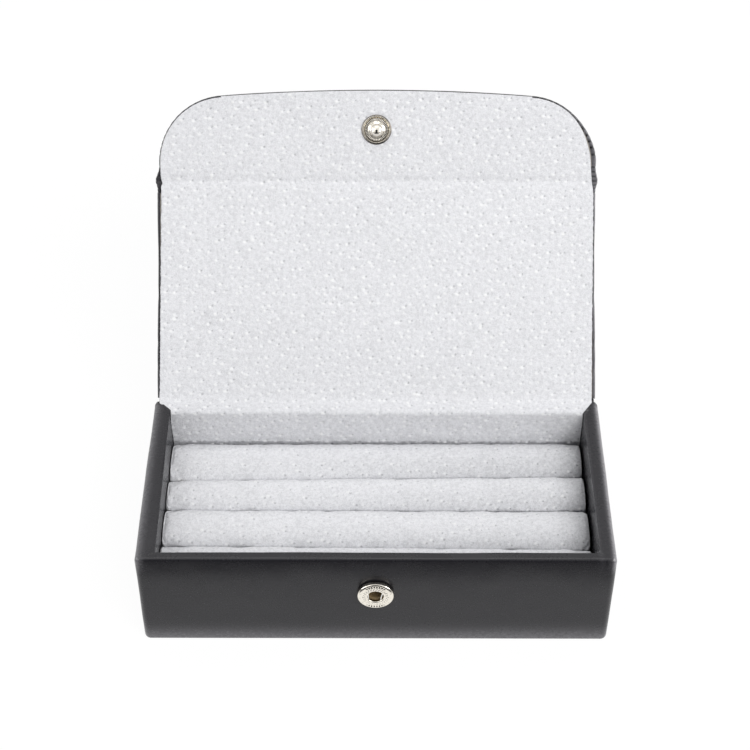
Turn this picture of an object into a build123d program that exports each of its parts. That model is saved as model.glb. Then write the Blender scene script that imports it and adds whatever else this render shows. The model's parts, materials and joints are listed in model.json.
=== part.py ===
"""Cufflink box: leather over board, suede lining, four rolls and a press-stud flap.

Millimetres, +Z up. X runs left to right, Y from front to back. The origin is the
middle of the underside. The lid is modelled open, leaning back, as the box is shown.
"""

import os
from math import atan2, cos, degrees, exp, radians, sin, sqrt, tan

from build123d import *

os.makedirs("parts", exist_ok=True)

# Outside of the tray
box_width = 150.0
box_depth = 70.0
box_height = 40.0
corner_radius = 2.0
rim_radius = 1.8
rim_inner_radius = 1.2
base_edge_radius = 1.5

# Sheet materials
leather = 0.9
suede = 0.7
lining_edge_radius = 0.56
base_board = 2.4
front_board_thick = 2.0
side_board_thick = 3.8
rear_board_thick = 3.6
lid_board_thick = 1.6
flap_board_thick = 1.3
turn_under = 9.0

# Lid and flap
lid_side_gap = 0.9
lid_lean = 43.5
lid_clearance = 0.3
hinge_inset = 0.3
hinge_back_gap = 0.15
hinge_strip_drop = 0.7
hinge_sag = 0.18
flap_side_gap = 0.6
flap_reach = 30.7
flap_corner = 23.0
flap_bow = 1.886
fold_forward = 12.0
fold_axis_depth = 2.05
fold_on_lid = 4.2
fold_on_flap = 5.25
fold_pinch = 1.4
fold_bulge = 0.6
lid_edge_radius = 0.8
pleat_pitch = 2.6
pleat_width = 0.35
pleat_depth = 0.25

# Press stud
stud_height = 24.8
socket_radius = 5.75
socket_proud = 2.0
socket_hole = 2.5
shell_thick = 0.3
shell_bevel = 0.75
tooth_count = 36
tooth_width = 0.25
tooth_length = 0.7
tooth_depth = 0.12
wire_radius = 0.25
wire_gap = 0.02
leg_reach = 3.3
leg_bottom = 2.4
leg_spread = 0.1125
eyelet_radius = 3.0
eyelet_wall = 0.45
eyelet_flare = 0.9
rivet_disc = 4.5
rivet_disc_thick = 0.4
stud_radius = 5.0
stud_rim = 0.8
stud_floor = 0.35
lip_inset = 0.72
lip_height = 0.64
stud_seat = 0.3
dome_radius = 2.6
dome_bulge_out = 0.87
dome_bulge_up = 0.72
neck_radius = 1.5
ball_radius = 2.05
snap_clearance = 0.08
ball_end_gap = 0.2
rivet_pin = 1.0
pin_drop = 0.375
pin_clearance = 0.02
hole_clearance = 0.05
knurl_count = 24
knurl_width = 0.22
knurl_depth = 0.15
knurl_share = 0.7

# Rolls
roll_count = 4
roll_gap = 0.3
roll_end_gap = 0.7
roll_crown = 28.0
roll_foot_inset = 0.95
roll_belly_height = 8.0
roll_shoulder_inset = 0.25
crown_rise = 0.96
roll_end_narrow = 1.3
roll_end_drop = 2.6
roll_end_fade = 1.5
roll_end_cuts = (0.0, 0.5, 1.1, 2.0, 3.2, 5.5)
cover_thick = 0.8
crown_padding = 1.1
foam_end_inset = 2.2

# Reach of the cutting blocks past the model
cut_margin = 10.0

# Layers of the tray, worked out from the sheets
half_width = box_width / 2
half_depth = box_depth / 2
board_x = half_width - leather
board_y = half_depth - leather
side_inner = board_x - side_board_thick
front_inner = -board_y + front_board_thick
rear_inner = board_y - rear_board_thick
tray_x = side_inner - leather
tray_front = front_inner + leather
tray_rear = rear_inner - suede
board_bottom = leather
board_floor = board_bottom + base_board
tray_floor = board_floor + suede
board_top = box_height - leather
cap_top = board_top + suede
strip_foot = board_top - hinge_strip_drop
above = box_height + cut_margin
beyond = half_width + cut_margin

# Lid frame: distances along the lid start at the hinge axis, depths at its lined face
hinge_y = half_depth - hinge_inset
hinge_z = box_height
lid_plane = Plane(
    origin=(0, hinge_y, hinge_z),
    x_dir=(1, 0, 0),
    z_dir=(0, -cos(radians(lid_lean)), sin(radians(lid_lean))),
)
lid_thick = suede + lid_board_thick + leather
lid_half = half_width - lid_side_gap
lid_rear = hinge_inset + hinge_back_gap
snap_stack = socket_proud + stud_seat + stud_rim
lid_reach = hinge_y + half_depth + snap_stack + fold_axis_depth
lid_front = lid_reach - fold_on_lid


def lid_point(along, depth):
    """Y and Z of a point of the lid, from its distance from the hinge and its depth."""
    point = lid_plane.from_local_coords((0, along, -lid_clearance - depth))
    return point.Y, point.Z


# Flap frame: its axis lies inside the fold, below the lined faces
flap_lean = lid_lean - fold_forward
flap_plane = Plane(
    origin=(0, *lid_point(lid_reach, fold_axis_depth)),
    x_dir=(1, 0, 0),
    z_dir=(0, -cos(radians(flap_lean)), sin(radians(flap_lean))),
)
flap_half = lid_half - flap_side_gap
flap_thick = suede + flap_board_thick + leather
stud_along = box_height + lid_clearance + fold_axis_depth - stud_height


def flap_point(along, depth):
    """Y and Z of a point of the flap, from its distance from the fold and its depth."""
    point = flap_plane.from_local_coords((0, along, fold_axis_depth - depth))
    return point.Y, point.Z


def block(low, high, mode=Mode.ADD):
    """Box between two opposite corners, added to the part being built."""
    middle = tuple((a + b) / 2 for a, b in zip(low, high))
    size = tuple(b - a for a, b in zip(low, high))
    with Locations(middle):
        Box(*size, mode=mode)


def outer_form():
    """Block of the whole tray with its rounded corners, rim and base edge."""
    with BuildSketch(Plane.XY) as footprint:
        RectangleRounded(box_width, box_depth, corner_radius)
    extrude(footprint.sketch, amount=box_height)
    fillet(faces().sort_by(Axis.Z)[-1].edges(), rim_radius)
    fillet(faces().sort_by(Axis.Z)[0].edges(), base_edge_radius)


def side_profile(points, half, mode=Mode.ADD):
    """Closed outline in Y and Z, run to both sides of the middle."""
    with BuildSketch(Plane.YZ) as outline:
        with BuildLine():
            Polyline(*points, close=True)
        make_face()
    extrude(outline.sketch, amount=half, both=True, mode=mode)


def write(piece, name):
    """Label a finished piece and write it under its name."""
    piece.part.label = name
    export_step(piece.part, f"parts/{name}.step")


# Boards of the tray
with BuildPart() as bottom_board:
    block((-board_x, -board_y, board_bottom), (board_x, board_y, board_floor))
write(bottom_board, "bottom_board")

socket_plane = Plane(
    origin=(0, -half_depth, stud_height), x_dir=(1, 0, 0), z_dir=(0, 0, -1)
)
socket_axis = Axis(origin=(0, 0, stud_height), direction=(0, -1, 0))
wire_level = socket_proud - shell_thick - wire_gap - wire_radius
leg_x = neck_radius + snap_clearance + wire_radius + leg_spread
stud_wire_level = snap_stack - wire_level
ball_centre = stud_wire_level + sqrt(
    (ball_radius + wire_radius + snap_clearance) ** 2 - leg_x**2
)
well_depth = ball_centre + ball_radius - snap_stack + ball_end_gap
front_bore = eyelet_radius + hole_clearance

with BuildPart() as front_board:
    block((-board_x, -board_y, board_floor), (board_x, front_inner, board_top))
    with BuildSketch(Plane(socket_plane.origin, x_dir=(1, 0, 0), z_dir=(0, 1, 0))):
        Circle(front_bore)
    extrude(amount=half_depth, mode=Mode.SUBTRACT)
    pocket = Vector(0, -half_depth + well_depth, stud_height)
    with BuildSketch(Plane(pocket, x_dir=(1, 0, 0), z_dir=(0, 1, 0))):
        Circle(rivet_disc + hole_clearance)
    extrude(amount=half_depth, mode=Mode.SUBTRACT)
write(front_board, "front_board")

with BuildPart() as rear_board:
    block((-board_x, rear_inner, board_floor), (board_x, board_y, board_top))
write(rear_board, "rear_board")

with BuildPart() as left_board:
    block((-board_x, front_inner, board_floor), (-side_inner, rear_inner, board_top))
write(left_board, "left_board")

with BuildPart() as right_board:
    block((side_inner, front_inner, board_floor), (board_x, rear_inner, board_top))
write(right_board, "right_board")

# One strip of leather wraps the front and both sides, folds over the rim with a mitre
# at each rear corner, lines the walls inside and turns under the base
mitre_run = board_y - tray_rear
under_x = half_width - turn_under
under_y = half_depth - turn_under

with BuildPart() as wall_leather:
    outer_form()
    block(
        (-tray_x, tray_front, board_floor), (tray_x, beyond, above), mode=Mode.SUBTRACT
    )
    rim_face = faces().sort_by(Axis.Z)[-1]
    inner_rim = rim_face.edges().filter_by(
        lambda edge: abs(edge.center().X) < tray_x + leather / 2
        and edge.center().Y > tray_front - leather / 2
        and edge.center().Y < board_y
    )
    fillet(inner_rim, rim_inner_radius)
    block(
        (-board_x, -board_y, board_floor),
        (board_x, front_inner, board_top),
        mode=Mode.SUBTRACT,
    )
    block(
        (-board_x, rear_inner, board_floor), (board_x, beyond, board_top), Mode.SUBTRACT
    )
    for near, far in ((-board_x, -side_inner), (side_inner, board_x)):
        block((near, -board_y, board_floor), (far, beyond, board_top), Mode.SUBTRACT)
    block(
        (-board_x, -board_y, board_bottom), (board_x, beyond, board_floor), Mode.SUBTRACT
    )
    block((-board_x, board_y, 0), (board_x, beyond, above), Mode.SUBTRACT)
    block((-under_x, -under_y, 0), (under_x, beyond, board_bottom), Mode.SUBTRACT)
    with BuildSketch(Plane.XY.offset(board_top)):
        with BuildLine():
            Polyline(
                (-tray_x, tray_rear),
                (-tray_x - mitre_run, board_y),
                (-board_x, board_y),
                (-board_x, beyond),
                (board_x, beyond),
                (board_x, board_y),
                (tray_x + mitre_run, board_y),
                (tray_x, tray_rear),
                close=True,
            )
        make_face()
    extrude(amount=above - board_top, mode=Mode.SUBTRACT)
    with BuildSketch(Plane(socket_plane.origin, x_dir=(1, 0, 0), z_dir=(0, 1, 0))):
        Circle(front_bore)
    extrude(amount=leather, mode=Mode.SUBTRACT)
write(wall_leather, "wall_leather")

with BuildPart() as rear_leather:
    outer_form()
    block((-board_x, -beyond, 0), (board_x, under_y, above), Mode.SUBTRACT)
    block((-board_x, -beyond, board_bottom), (board_x, board_y, above), Mode.SUBTRACT)
    block((-beyond, -beyond, strip_foot), (beyond, beyond, above), Mode.SUBTRACT)
    for side in (-1, 1):
        low, high = sorted((side * board_x, side * beyond))
        block((low, -beyond, 0), (high, beyond, above), Mode.SUBTRACT)
        low, high = sorted((side * under_x, side * board_x))
        block((low, -beyond, 0), (high, board_y, board_bottom), Mode.SUBTRACT)
write(rear_leather, "rear_leather")

with BuildPart() as bottom_leather:
    block((-under_x, -under_y, 0), (under_x, under_y, board_bottom))
write(bottom_leather, "bottom_leather")

# Suede on the rear wall, carried over its top with mitred ends, and on the floor
with BuildPart() as rear_lining:
    block((-tray_x, tray_rear, board_floor), (tray_x, rear_inner, board_top))
    with BuildSketch(Plane.XY.offset(board_top)):
        with BuildLine():
            Polyline(
                (-tray_x, tray_rear),
                (-tray_x - mitre_run, board_y),
                (tray_x + mitre_run, board_y),
                (tray_x, tray_rear),
                close=True,
            )
        make_face()
    extrude(amount=suede)
    front_corner = edges().filter_by(Axis.X).group_by(Axis.Z)[-1].sort_by(Axis.Y)[0]
    fillet(front_corner, lining_edge_radius)
write(rear_lining, "rear_lining")

with BuildPart() as floor_lining:
    block((-tray_x, tray_front, board_floor), (tray_x, tray_rear, tray_floor))
write(floor_lining, "floor_lining")

# Rolls: foam cores in suede covers, side by side from the rear wall to the front one
roll_pitch = (tray_rear - tray_front) / roll_count
roll_half = (roll_pitch - roll_gap) / 2
roll_end = tray_x - roll_end_gap


def roll_station(from_end):
    """Place along X, loss of width and loss of height at a distance from a roll's end."""
    fade = exp(-from_end / roll_end_fade)
    return roll_end - from_end, roll_end_narrow * fade, roll_end_drop * fade


roll_ends = [roll_station(from_end) for from_end in roll_end_cuts]


def roll_outline(middle, half, crown, floor):
    """Cross-section of a roll: flat foot, swelling sides and a round crown."""
    foot = half - roll_foot_inset
    shoulder = half - roll_shoulder_inset
    shoulder_z = crown - shoulder * crown_rise
    with BuildLine() as section:
        Line((middle - foot, floor), (middle + foot, floor))
        ThreePointArc(
            (middle + foot, floor),
            (middle + half, floor + roll_belly_height),
            (middle + shoulder, shoulder_z),
        )
        ThreePointArc(
            (middle + shoulder, shoulder_z),
            (middle, crown),
            (middle - shoulder, shoulder_z),
        )
        ThreePointArc(
            (middle - shoulder, shoulder_z),
            (middle - half, floor + roll_belly_height),
            (middle - foot, floor),
        )
    make_face(section.edges())


def foam_core(middle, mode):
    """Plain foam strip inside a roll's cover."""
    with BuildSketch(Plane.YZ) as core:
        roll_outline(
            middle,
            roll_half - cover_thick,
            roll_crown - crown_padding,
            tray_floor + cover_thick,
        )
    extrude(core.sketch, amount=roll_end - foam_end_inset, both=True, mode=mode)


for number in range(roll_count):
    roll_middle = tray_rear - (number + 0.5) * roll_pitch

    with BuildPart() as roll_foam:
        foam_core(roll_middle, Mode.ADD)
    write(roll_foam, f"roll_foam_{number + 1}")

    with BuildPart() as roll_cover:
        left_ends = [(-x, narrow, drop) for x, narrow, drop in roll_ends]
        for x, narrow, drop in left_ends + roll_ends[::-1]:
            with BuildSketch(Plane.YZ.offset(x)):
                roll_outline(
                    roll_middle, roll_half - narrow, roll_crown - drop, tray_floor
                )
        loft(ruled=True)
        foam_core(roll_middle, Mode.SUBTRACT)
    write(roll_cover, f"roll_cover_{number + 1}")

# Socket half of the press stud, on the front wall
shell_inner = socket_radius - shell_thick
face_radius = socket_radius - shell_bevel
face_inner = socket_proud - shell_thick

with BuildPart() as socket_shell:
    with BuildSketch(socket_plane):
        with BuildLine():
            Polyline(
                (front_bore, 0),
                (socket_radius, 0),
                (socket_radius, shell_bevel),
            )
            RadiusArc(
                (socket_radius, shell_bevel), (face_radius, socket_proud), -socket_proud
            )
            Polyline(
                (face_radius, socket_proud),
                (socket_hole + shell_thick / 2, socket_proud),
                (socket_hole, socket_proud - shell_thick / 2),
                (socket_hole, face_inner),
                (face_radius - shell_thick, face_inner),
                (shell_inner, shell_bevel),
                (shell_inner, shell_thick),
                (front_bore, shell_thick),
                (front_bore, 0),
            )
        make_face()
    revolve(axis=socket_axis)
    tooth_middle = face_radius - tooth_length / 2
    tooth_face = Plane(
        origin=(0, -half_depth - socket_proud, stud_height), z_dir=(0, -1, 0)
    )
    with Locations(tooth_face):
        with PolarLocations(tooth_middle, tooth_count):
            Box(tooth_length, tooth_width, tooth_depth * 2, mode=Mode.SUBTRACT)
write(socket_shell, "socket_shell")

# The spring is one bent wire whose two legs close behind the ball
with BuildPart() as socket_spring:
    wire_plane = Plane(
        origin=(0, -half_depth - wire_level, stud_height),
        x_dir=(1, 0, 0),
        z_dir=(0, -1, 0),
    )
    with BuildLine(wire_plane) as wire_path:
        Line((-leg_x, leg_reach), (-leg_x, -leg_bottom))
        ThreePointArc(
            (-leg_x, -leg_bottom), (0, -leg_bottom - leg_x), (leg_x, -leg_bottom)
        )
        Line((leg_x, -leg_bottom), (leg_x, leg_reach))
    with BuildSketch(Plane(wire_path.line @ 0, z_dir=wire_path.line % 0)):
        Circle(wire_radius)
    sweep()
write(socket_spring, "socket_spring")

with BuildPart() as socket_eyelet:
    eyelet_bore = eyelet_radius - eyelet_wall
    flare_low = shell_thick
    flare_high = flare_low + shell_thick
    with BuildSketch(socket_plane):
        with BuildLine():
            Polyline(
                (0, -well_depth),
                (eyelet_bore, -well_depth),
                (eyelet_bore, flare_high),
                (eyelet_radius + eyelet_flare, flare_high),
                (eyelet_radius + eyelet_flare, flare_low),
                (eyelet_radius, flare_low),
                (eyelet_radius, -well_depth),
                (rivet_disc, -well_depth),
                (rivet_disc, -well_depth - rivet_disc_thick),
                (0, -well_depth - rivet_disc_thick),
                close=True,
            )
        make_face()
    revolve(axis=socket_axis)
write(socket_eyelet, "socket_eyelet")

# Hinge: leather and suede that cross from the rear wall to the lid
lid_board_rear = lid_rear + leather


def lining_corner(level, depth):
    """Point where the suede turns from the level cap to the slope of the lid."""
    low = lid_point(0, depth)
    along = (level - low[1]) / cos(radians(lid_lean))
    return lid_point(along, depth)


with BuildPart() as hinge_lining:
    side_profile(
        (
            (board_y, board_top),
            lining_corner(board_top, suede),
            lid_point(lid_board_rear, suede),
            lid_point(lid_board_rear, 0),
            lining_corner(cap_top, 0),
            (board_y, cap_top),
        ),
        lid_half - leather,
    )
write(hinge_lining, "hinge_lining")

with BuildPart() as hinge_leather:
    flange_high = lid_point(lid_rear, suede)
    flange_low = lid_point(lid_rear, suede + leather)
    sag = (flange_low[0] + half_depth) / 2, strip_foot - hinge_sag
    with BuildSketch(Plane.YZ):
        with BuildLine():
            Polyline(
                (half_depth, strip_foot),
                (board_y, strip_foot),
                (board_y, board_top),
                lining_corner(board_top, suede),
                flange_high,
                flange_low,
            )
            ThreePointArc(flange_low, sag, (half_depth, strip_foot))
        make_face()
    extrude(amount=lid_half, both=True)
write(hinge_leather, "hinge_leather")

# Lid: board, leather turned up round three edges, and suede between the turned edges
board_depth = suede + lid_board_thick


def lid_level(depth):
    """Plane of the lid at a depth below its lined face."""
    return lid_plane.offset(-lid_clearance - depth)


def lid_sheet(half, rear, front, depth, thick, mode=Mode.ADD):
    """Flat sheet of the lid between two distances from the hinge."""
    with BuildSketch(lid_level(depth + thick)) as sheet:
        with Locations((0, (rear + front) / 2)):
            Rectangle(2 * half, front - rear)
    extrude(sheet.sketch, amount=thick, mode=mode)


with BuildPart() as lid_board:
    lid_sheet(
        lid_half - leather, lid_board_rear, lid_front, suede, lid_board_thick
    )
write(lid_board, "lid_board")

with BuildPart() as lid_leather:
    lid_sheet(lid_half, lid_rear, lid_front, 0, lid_thick)
    outer_level = faces().sort_by(Axis(lid_plane.origin, lid_plane.z_dir))[0]
    long_edges = outer_level.edges().filter_by(lambda edge: edge.length < lid_reach)
    fillet(long_edges, lid_edge_radius)
    lid_sheet(lid_half - leather, lid_board_rear, lid_front, 0, board_depth, Mode.SUBTRACT)
    lid_sheet(lid_half - leather, lid_rear, lid_board_rear, 0, suede, Mode.SUBTRACT)
write(lid_leather, "lid_leather")

with BuildPart() as lid_lining:
    lid_sheet(lid_half - leather, lid_board_rear, lid_front, 0, suede)
write(lid_lining, "lid_lining")

# Fold: a band with no board, where leather and suede are pressed together
flap_board_depth = suede + flap_board_thick
half_fold = tan(radians(fold_forward / 2))
crease_in = lid_reach - fold_axis_depth * half_fold
crease_back = lid_reach - (fold_axis_depth - suede) * half_fold

with BuildPart() as fold_lining:
    side_profile(
        (
            lid_point(lid_front, 0),
            lid_point(crease_in, 0),
            flap_point(fold_on_flap, 0),
            flap_point(fold_on_flap, suede),
            lid_point(crease_back, suede),
            lid_point(lid_front, suede),
        ),
        flap_half - leather,
    )
write(fold_lining, "fold_lining")

with BuildPart() as fold_leather:
    side_profile(
        (
            lid_point(lid_front, board_depth),
            lid_point(lid_reach, lid_thick - fold_pinch - leather),
            flap_point(fold_on_flap, flap_board_depth),
            flap_point(fold_on_flap, flap_thick),
            lid_point(lid_reach, lid_thick - fold_pinch),
            lid_point(lid_front, lid_thick),
        ),
        lid_half + fold_bulge,
    )
write(fold_leather, "fold_leather")

# Flap: round corners and a slightly bowed front edge
corner_x = flap_half - flap_corner
corner_along = flap_reach - flap_corner - flap_bow
bow_radius = flap_corner + (corner_x**2 + flap_bow**2) / (2 * flap_bow)
bow_low = flap_reach - bow_radius
corner_turn = atan2(corner_along - bow_low, corner_x)


def flap_outline(inset):
    """Outline of the flap, drawn in by an inset, from the fold round its front edge."""
    half = flap_half - inset
    radius = flap_corner - inset
    tip = corner_x + radius * cos(corner_turn), corner_along + radius * sin(corner_turn)
    middle = corner_turn / 2
    bend = corner_x + radius * cos(middle), corner_along + radius * sin(middle)
    with BuildLine() as rim:
        Line((half, fold_on_flap), (half, corner_along))
        ThreePointArc((half, corner_along), bend, tip)
        ThreePointArc(tip, (0, flap_reach - inset), (-tip[0], tip[1]))
        ThreePointArc((-tip[0], tip[1]), (-bend[0], bend[1]), (-half, corner_along))
        Line((-half, corner_along), (-half, fold_on_flap))
        Line((-half, fold_on_flap), (half, fold_on_flap))
    make_face(rim.edges())


def flap_sheet(inset, depth, thick, mode=Mode.ADD):
    """Sheet of the flap's outline at a depth below its lined face."""
    with BuildSketch(flap_plane.offset(fold_axis_depth - depth - thick)) as sheet:
        flap_outline(inset)
    extrude(sheet.sketch, amount=thick, mode=mode)


def stud_bore(radius, depth, thick):
    """Round hole on the stud's axis through a layer of the flap."""
    with BuildSketch(flap_plane.offset(fold_axis_depth - depth - thick)) as bore:
        with Locations((0, stud_along)):
            Circle(radius)
    extrude(bore.sketch, amount=thick, mode=Mode.SUBTRACT)


pin_bore = rivet_pin + hole_clearance
disc_depth = flap_board_depth - rivet_disc_thick

with BuildPart() as flap_board:
    flap_sheet(leather, suede, flap_board_thick)
    stud_bore(pin_bore, suede, flap_board_thick)
    stud_bore(rivet_disc + hole_clearance, disc_depth, rivet_disc_thick)
write(flap_board, "flap_board")

with BuildPart() as flap_leather:
    flap_sheet(0, 0, flap_thick)
    back_level = faces().sort_by(Axis(flap_plane.origin, flap_plane.z_dir))[0]
    curved_edge = back_level.edges().sort_by(Axis(flap_plane.origin, flap_plane.y_dir))[1:]
    fillet(curved_edge, lid_edge_radius)
    flap_sheet(leather, 0, flap_board_depth, Mode.SUBTRACT)
    pleat_count = int(flap_corner * corner_turn / pleat_pitch)
    pleat_turn = degrees(corner_turn)
    with Locations(flap_plane.offset(fold_axis_depth)):
        for side, first in ((1, 0), (-1, 180 - pleat_turn)):
            with Locations((side * corner_x, corner_along)):
                with PolarLocations(
                    flap_corner - leather / 2, pleat_count, first, pleat_turn
                ):
                    Box(leather * 2, pleat_width, pleat_depth * 2, mode=Mode.SUBTRACT)
write(flap_leather, "flap_leather")

with BuildPart() as flap_lining:
    flap_sheet(leather, 0, suede)
    stud_bore(pin_bore, 0, suede)
write(flap_lining, "flap_lining")

# Stud half of the press stud, riveted through the flap
stud_base = Vector(0, *flap_point(stud_along, 0))
stud_plane = Plane(origin=stud_base, x_dir=(1, 0, 0), z_dir=-flap_plane.y_dir)
stud_axis = Axis(origin=stud_base, direction=flap_plane.z_dir)
pin_top = ball_centre - pin_drop
rim_width = stud_rim / 2
knurl_outer = stud_radius - 2 * rim_width

with BuildPart() as stud:
    neck_level = ball_centre - sqrt(ball_radius**2 - neck_radius**2)
    shoulder_level = stud_wire_level - wire_radius - snap_clearance
    with BuildSketch(stud_plane):
        with BuildLine():
            Polyline(
                (0, pin_top + pin_clearance),
                (rivet_pin + pin_clearance, pin_top + pin_clearance),
                (rivet_pin + pin_clearance, 0),
                (stud_radius - rim_width, 0),
            )
            ThreePointArc(
                (stud_radius - rim_width, 0),
                (stud_radius, stud_rim / 2),
                (stud_radius - rim_width, stud_rim),
            )
            ThreePointArc(
                (stud_radius - rim_width, stud_rim),
                (stud_radius - lip_inset, lip_height),
                (knurl_outer, stud_floor),
            )
            Line((knurl_outer, stud_floor), (dome_radius, stud_floor))
            ThreePointArc(
                (dome_radius, stud_floor),
                (dome_radius * dome_bulge_out, shoulder_level * dome_bulge_up),
                (neck_radius, shoulder_level),
            )
            Line((neck_radius, shoulder_level), (neck_radius, neck_level))
            ThreePointArc(
                (neck_radius, neck_level),
                (ball_radius, ball_centre),
                (0, ball_centre + ball_radius),
            )
            Line((0, ball_centre + ball_radius), (0, pin_top + pin_clearance))
        make_face()
    revolve(axis=stud_axis)
    knurl_middle = (knurl_outer + dome_radius) / 2
    knurl_length = (knurl_outer - dome_radius) * knurl_share
    with Locations(Plane(stud_base, x_dir=(1, 0, 0), z_dir=flap_plane.z_dir)):
        with Locations((0, 0, stud_floor)):
            with PolarLocations(knurl_middle, knurl_count):
                Box(knurl_length, knurl_width, knurl_depth * 2, mode=Mode.SUBTRACT)
write(stud, "stud")

with BuildPart() as stud_rivet:
    rivet_base = -flap_board_depth
    with BuildSketch(stud_plane):
        with BuildLine():
            Polyline(
                (0, rivet_base),
                (rivet_disc, rivet_base),
                (rivet_disc, rivet_base + rivet_disc_thick),
                (rivet_pin, rivet_base + rivet_disc_thick),
                (rivet_pin, pin_top),
                (0, pin_top),
                close=True,
            )
        make_face()
    revolve(axis=stud_axis)
write(stud_rivet, "stud_rivet")

# Values that the record repeats
print(f"hinge axis y {hinge_y:.3f} z {hinge_z:.3f}")
print("fold axis y {:.3f} z {:.3f}".format(*lid_point(lid_reach, fold_axis_depth)))
print(f"closed from rest: lid {90 + lid_lean:.2f}, flap {90 - fold_forward:.2f} degrees")
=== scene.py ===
"""A cufflink box dressed for the camera: leather, suede, four soft rolls and a press stud.

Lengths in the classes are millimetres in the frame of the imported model: X to the right,
Y to the back, Z up, and the origin under the middle of the tray.
"""

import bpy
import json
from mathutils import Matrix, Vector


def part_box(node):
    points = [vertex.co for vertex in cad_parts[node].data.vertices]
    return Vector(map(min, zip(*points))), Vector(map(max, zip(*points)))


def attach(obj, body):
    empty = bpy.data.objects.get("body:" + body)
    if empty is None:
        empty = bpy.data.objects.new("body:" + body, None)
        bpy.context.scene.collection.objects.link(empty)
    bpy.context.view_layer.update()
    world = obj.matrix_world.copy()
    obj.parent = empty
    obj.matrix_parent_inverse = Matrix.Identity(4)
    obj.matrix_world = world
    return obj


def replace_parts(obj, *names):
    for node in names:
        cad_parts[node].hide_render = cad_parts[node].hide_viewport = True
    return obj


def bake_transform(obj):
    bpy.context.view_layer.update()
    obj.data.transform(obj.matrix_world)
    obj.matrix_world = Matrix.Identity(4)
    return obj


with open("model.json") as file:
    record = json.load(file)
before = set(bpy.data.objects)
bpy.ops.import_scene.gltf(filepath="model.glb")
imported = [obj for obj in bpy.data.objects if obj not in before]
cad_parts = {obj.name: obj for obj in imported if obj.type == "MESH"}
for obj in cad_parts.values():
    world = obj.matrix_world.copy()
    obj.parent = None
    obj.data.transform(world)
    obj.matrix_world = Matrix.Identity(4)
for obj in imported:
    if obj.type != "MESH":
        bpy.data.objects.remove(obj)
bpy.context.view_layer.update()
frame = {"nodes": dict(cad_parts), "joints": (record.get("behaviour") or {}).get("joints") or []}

import json
import logging
import math
from dataclasses import dataclass, field
from enum import Enum
from typing import Callable

import bmesh
import bpy
import numpy as np
from mathutils import Matrix, Vector

logging.basicConfig(level=logging.INFO, format="%(message)s")
log = logging.getLogger("cufflink_box")

MM = 0.001
Array = np.ndarray
Piece = bpy.types.Object
Point = tuple[float, float]
Colour = tuple[float, float, float]
Place = tuple[float, float, float]


# ---------------------------------------------------------------- shader wiring


class Wire:
    """An output socket, with arithmetic that adds Math nodes to its tree."""

    def __init__(self, shader: "Shader", socket: bpy.types.NodeSocket | None) -> None:
        """Keep the socket and the shader it belongs to."""
        self.shader, self.socket = shader, socket

    def _math(self, operation: str, *values: "Wire | float") -> "Wire":
        """Result of a Math node on the values, in order."""
        settings = {"operation": operation}
        return self.shader.node("ShaderNodeMath", settings, dict(enumerate(values)))

    def __add__(self, other: "Wire | float") -> "Wire":
        """Sum."""
        return self._math("ADD", self, other)

    def __radd__(self, other: float) -> "Wire":
        """Sum with a number on the left."""
        return self._math("ADD", other, self)

    def __sub__(self, other: "Wire | float") -> "Wire":
        """Difference."""
        return self._math("SUBTRACT", self, other)

    def __rsub__(self, other: float) -> "Wire":
        """Difference with a number on the left."""
        return self._math("SUBTRACT", other, self)

    def __mul__(self, other: "Wire | float") -> "Wire":
        """Product."""
        return self._math("MULTIPLY", self, other)

    def __rmul__(self, other: float) -> "Wire":
        """Product with a number on the left."""
        return self._math("MULTIPLY", other, self)

    def larger(self, other: "Wire | float") -> "Wire":
        """The larger of two."""
        return self._math("MAXIMUM", self, other)

    def between(self, low: float, high: float) -> "Wire":
        """Smooth step from 0 at low to 1 at high."""
        inputs = {"Value": self, "From Min": low, "From Max": high}
        return self.shader.node(
            "ShaderNodeMapRange", {"interpolation_type": "SMOOTHSTEP"}, inputs
        )


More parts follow.
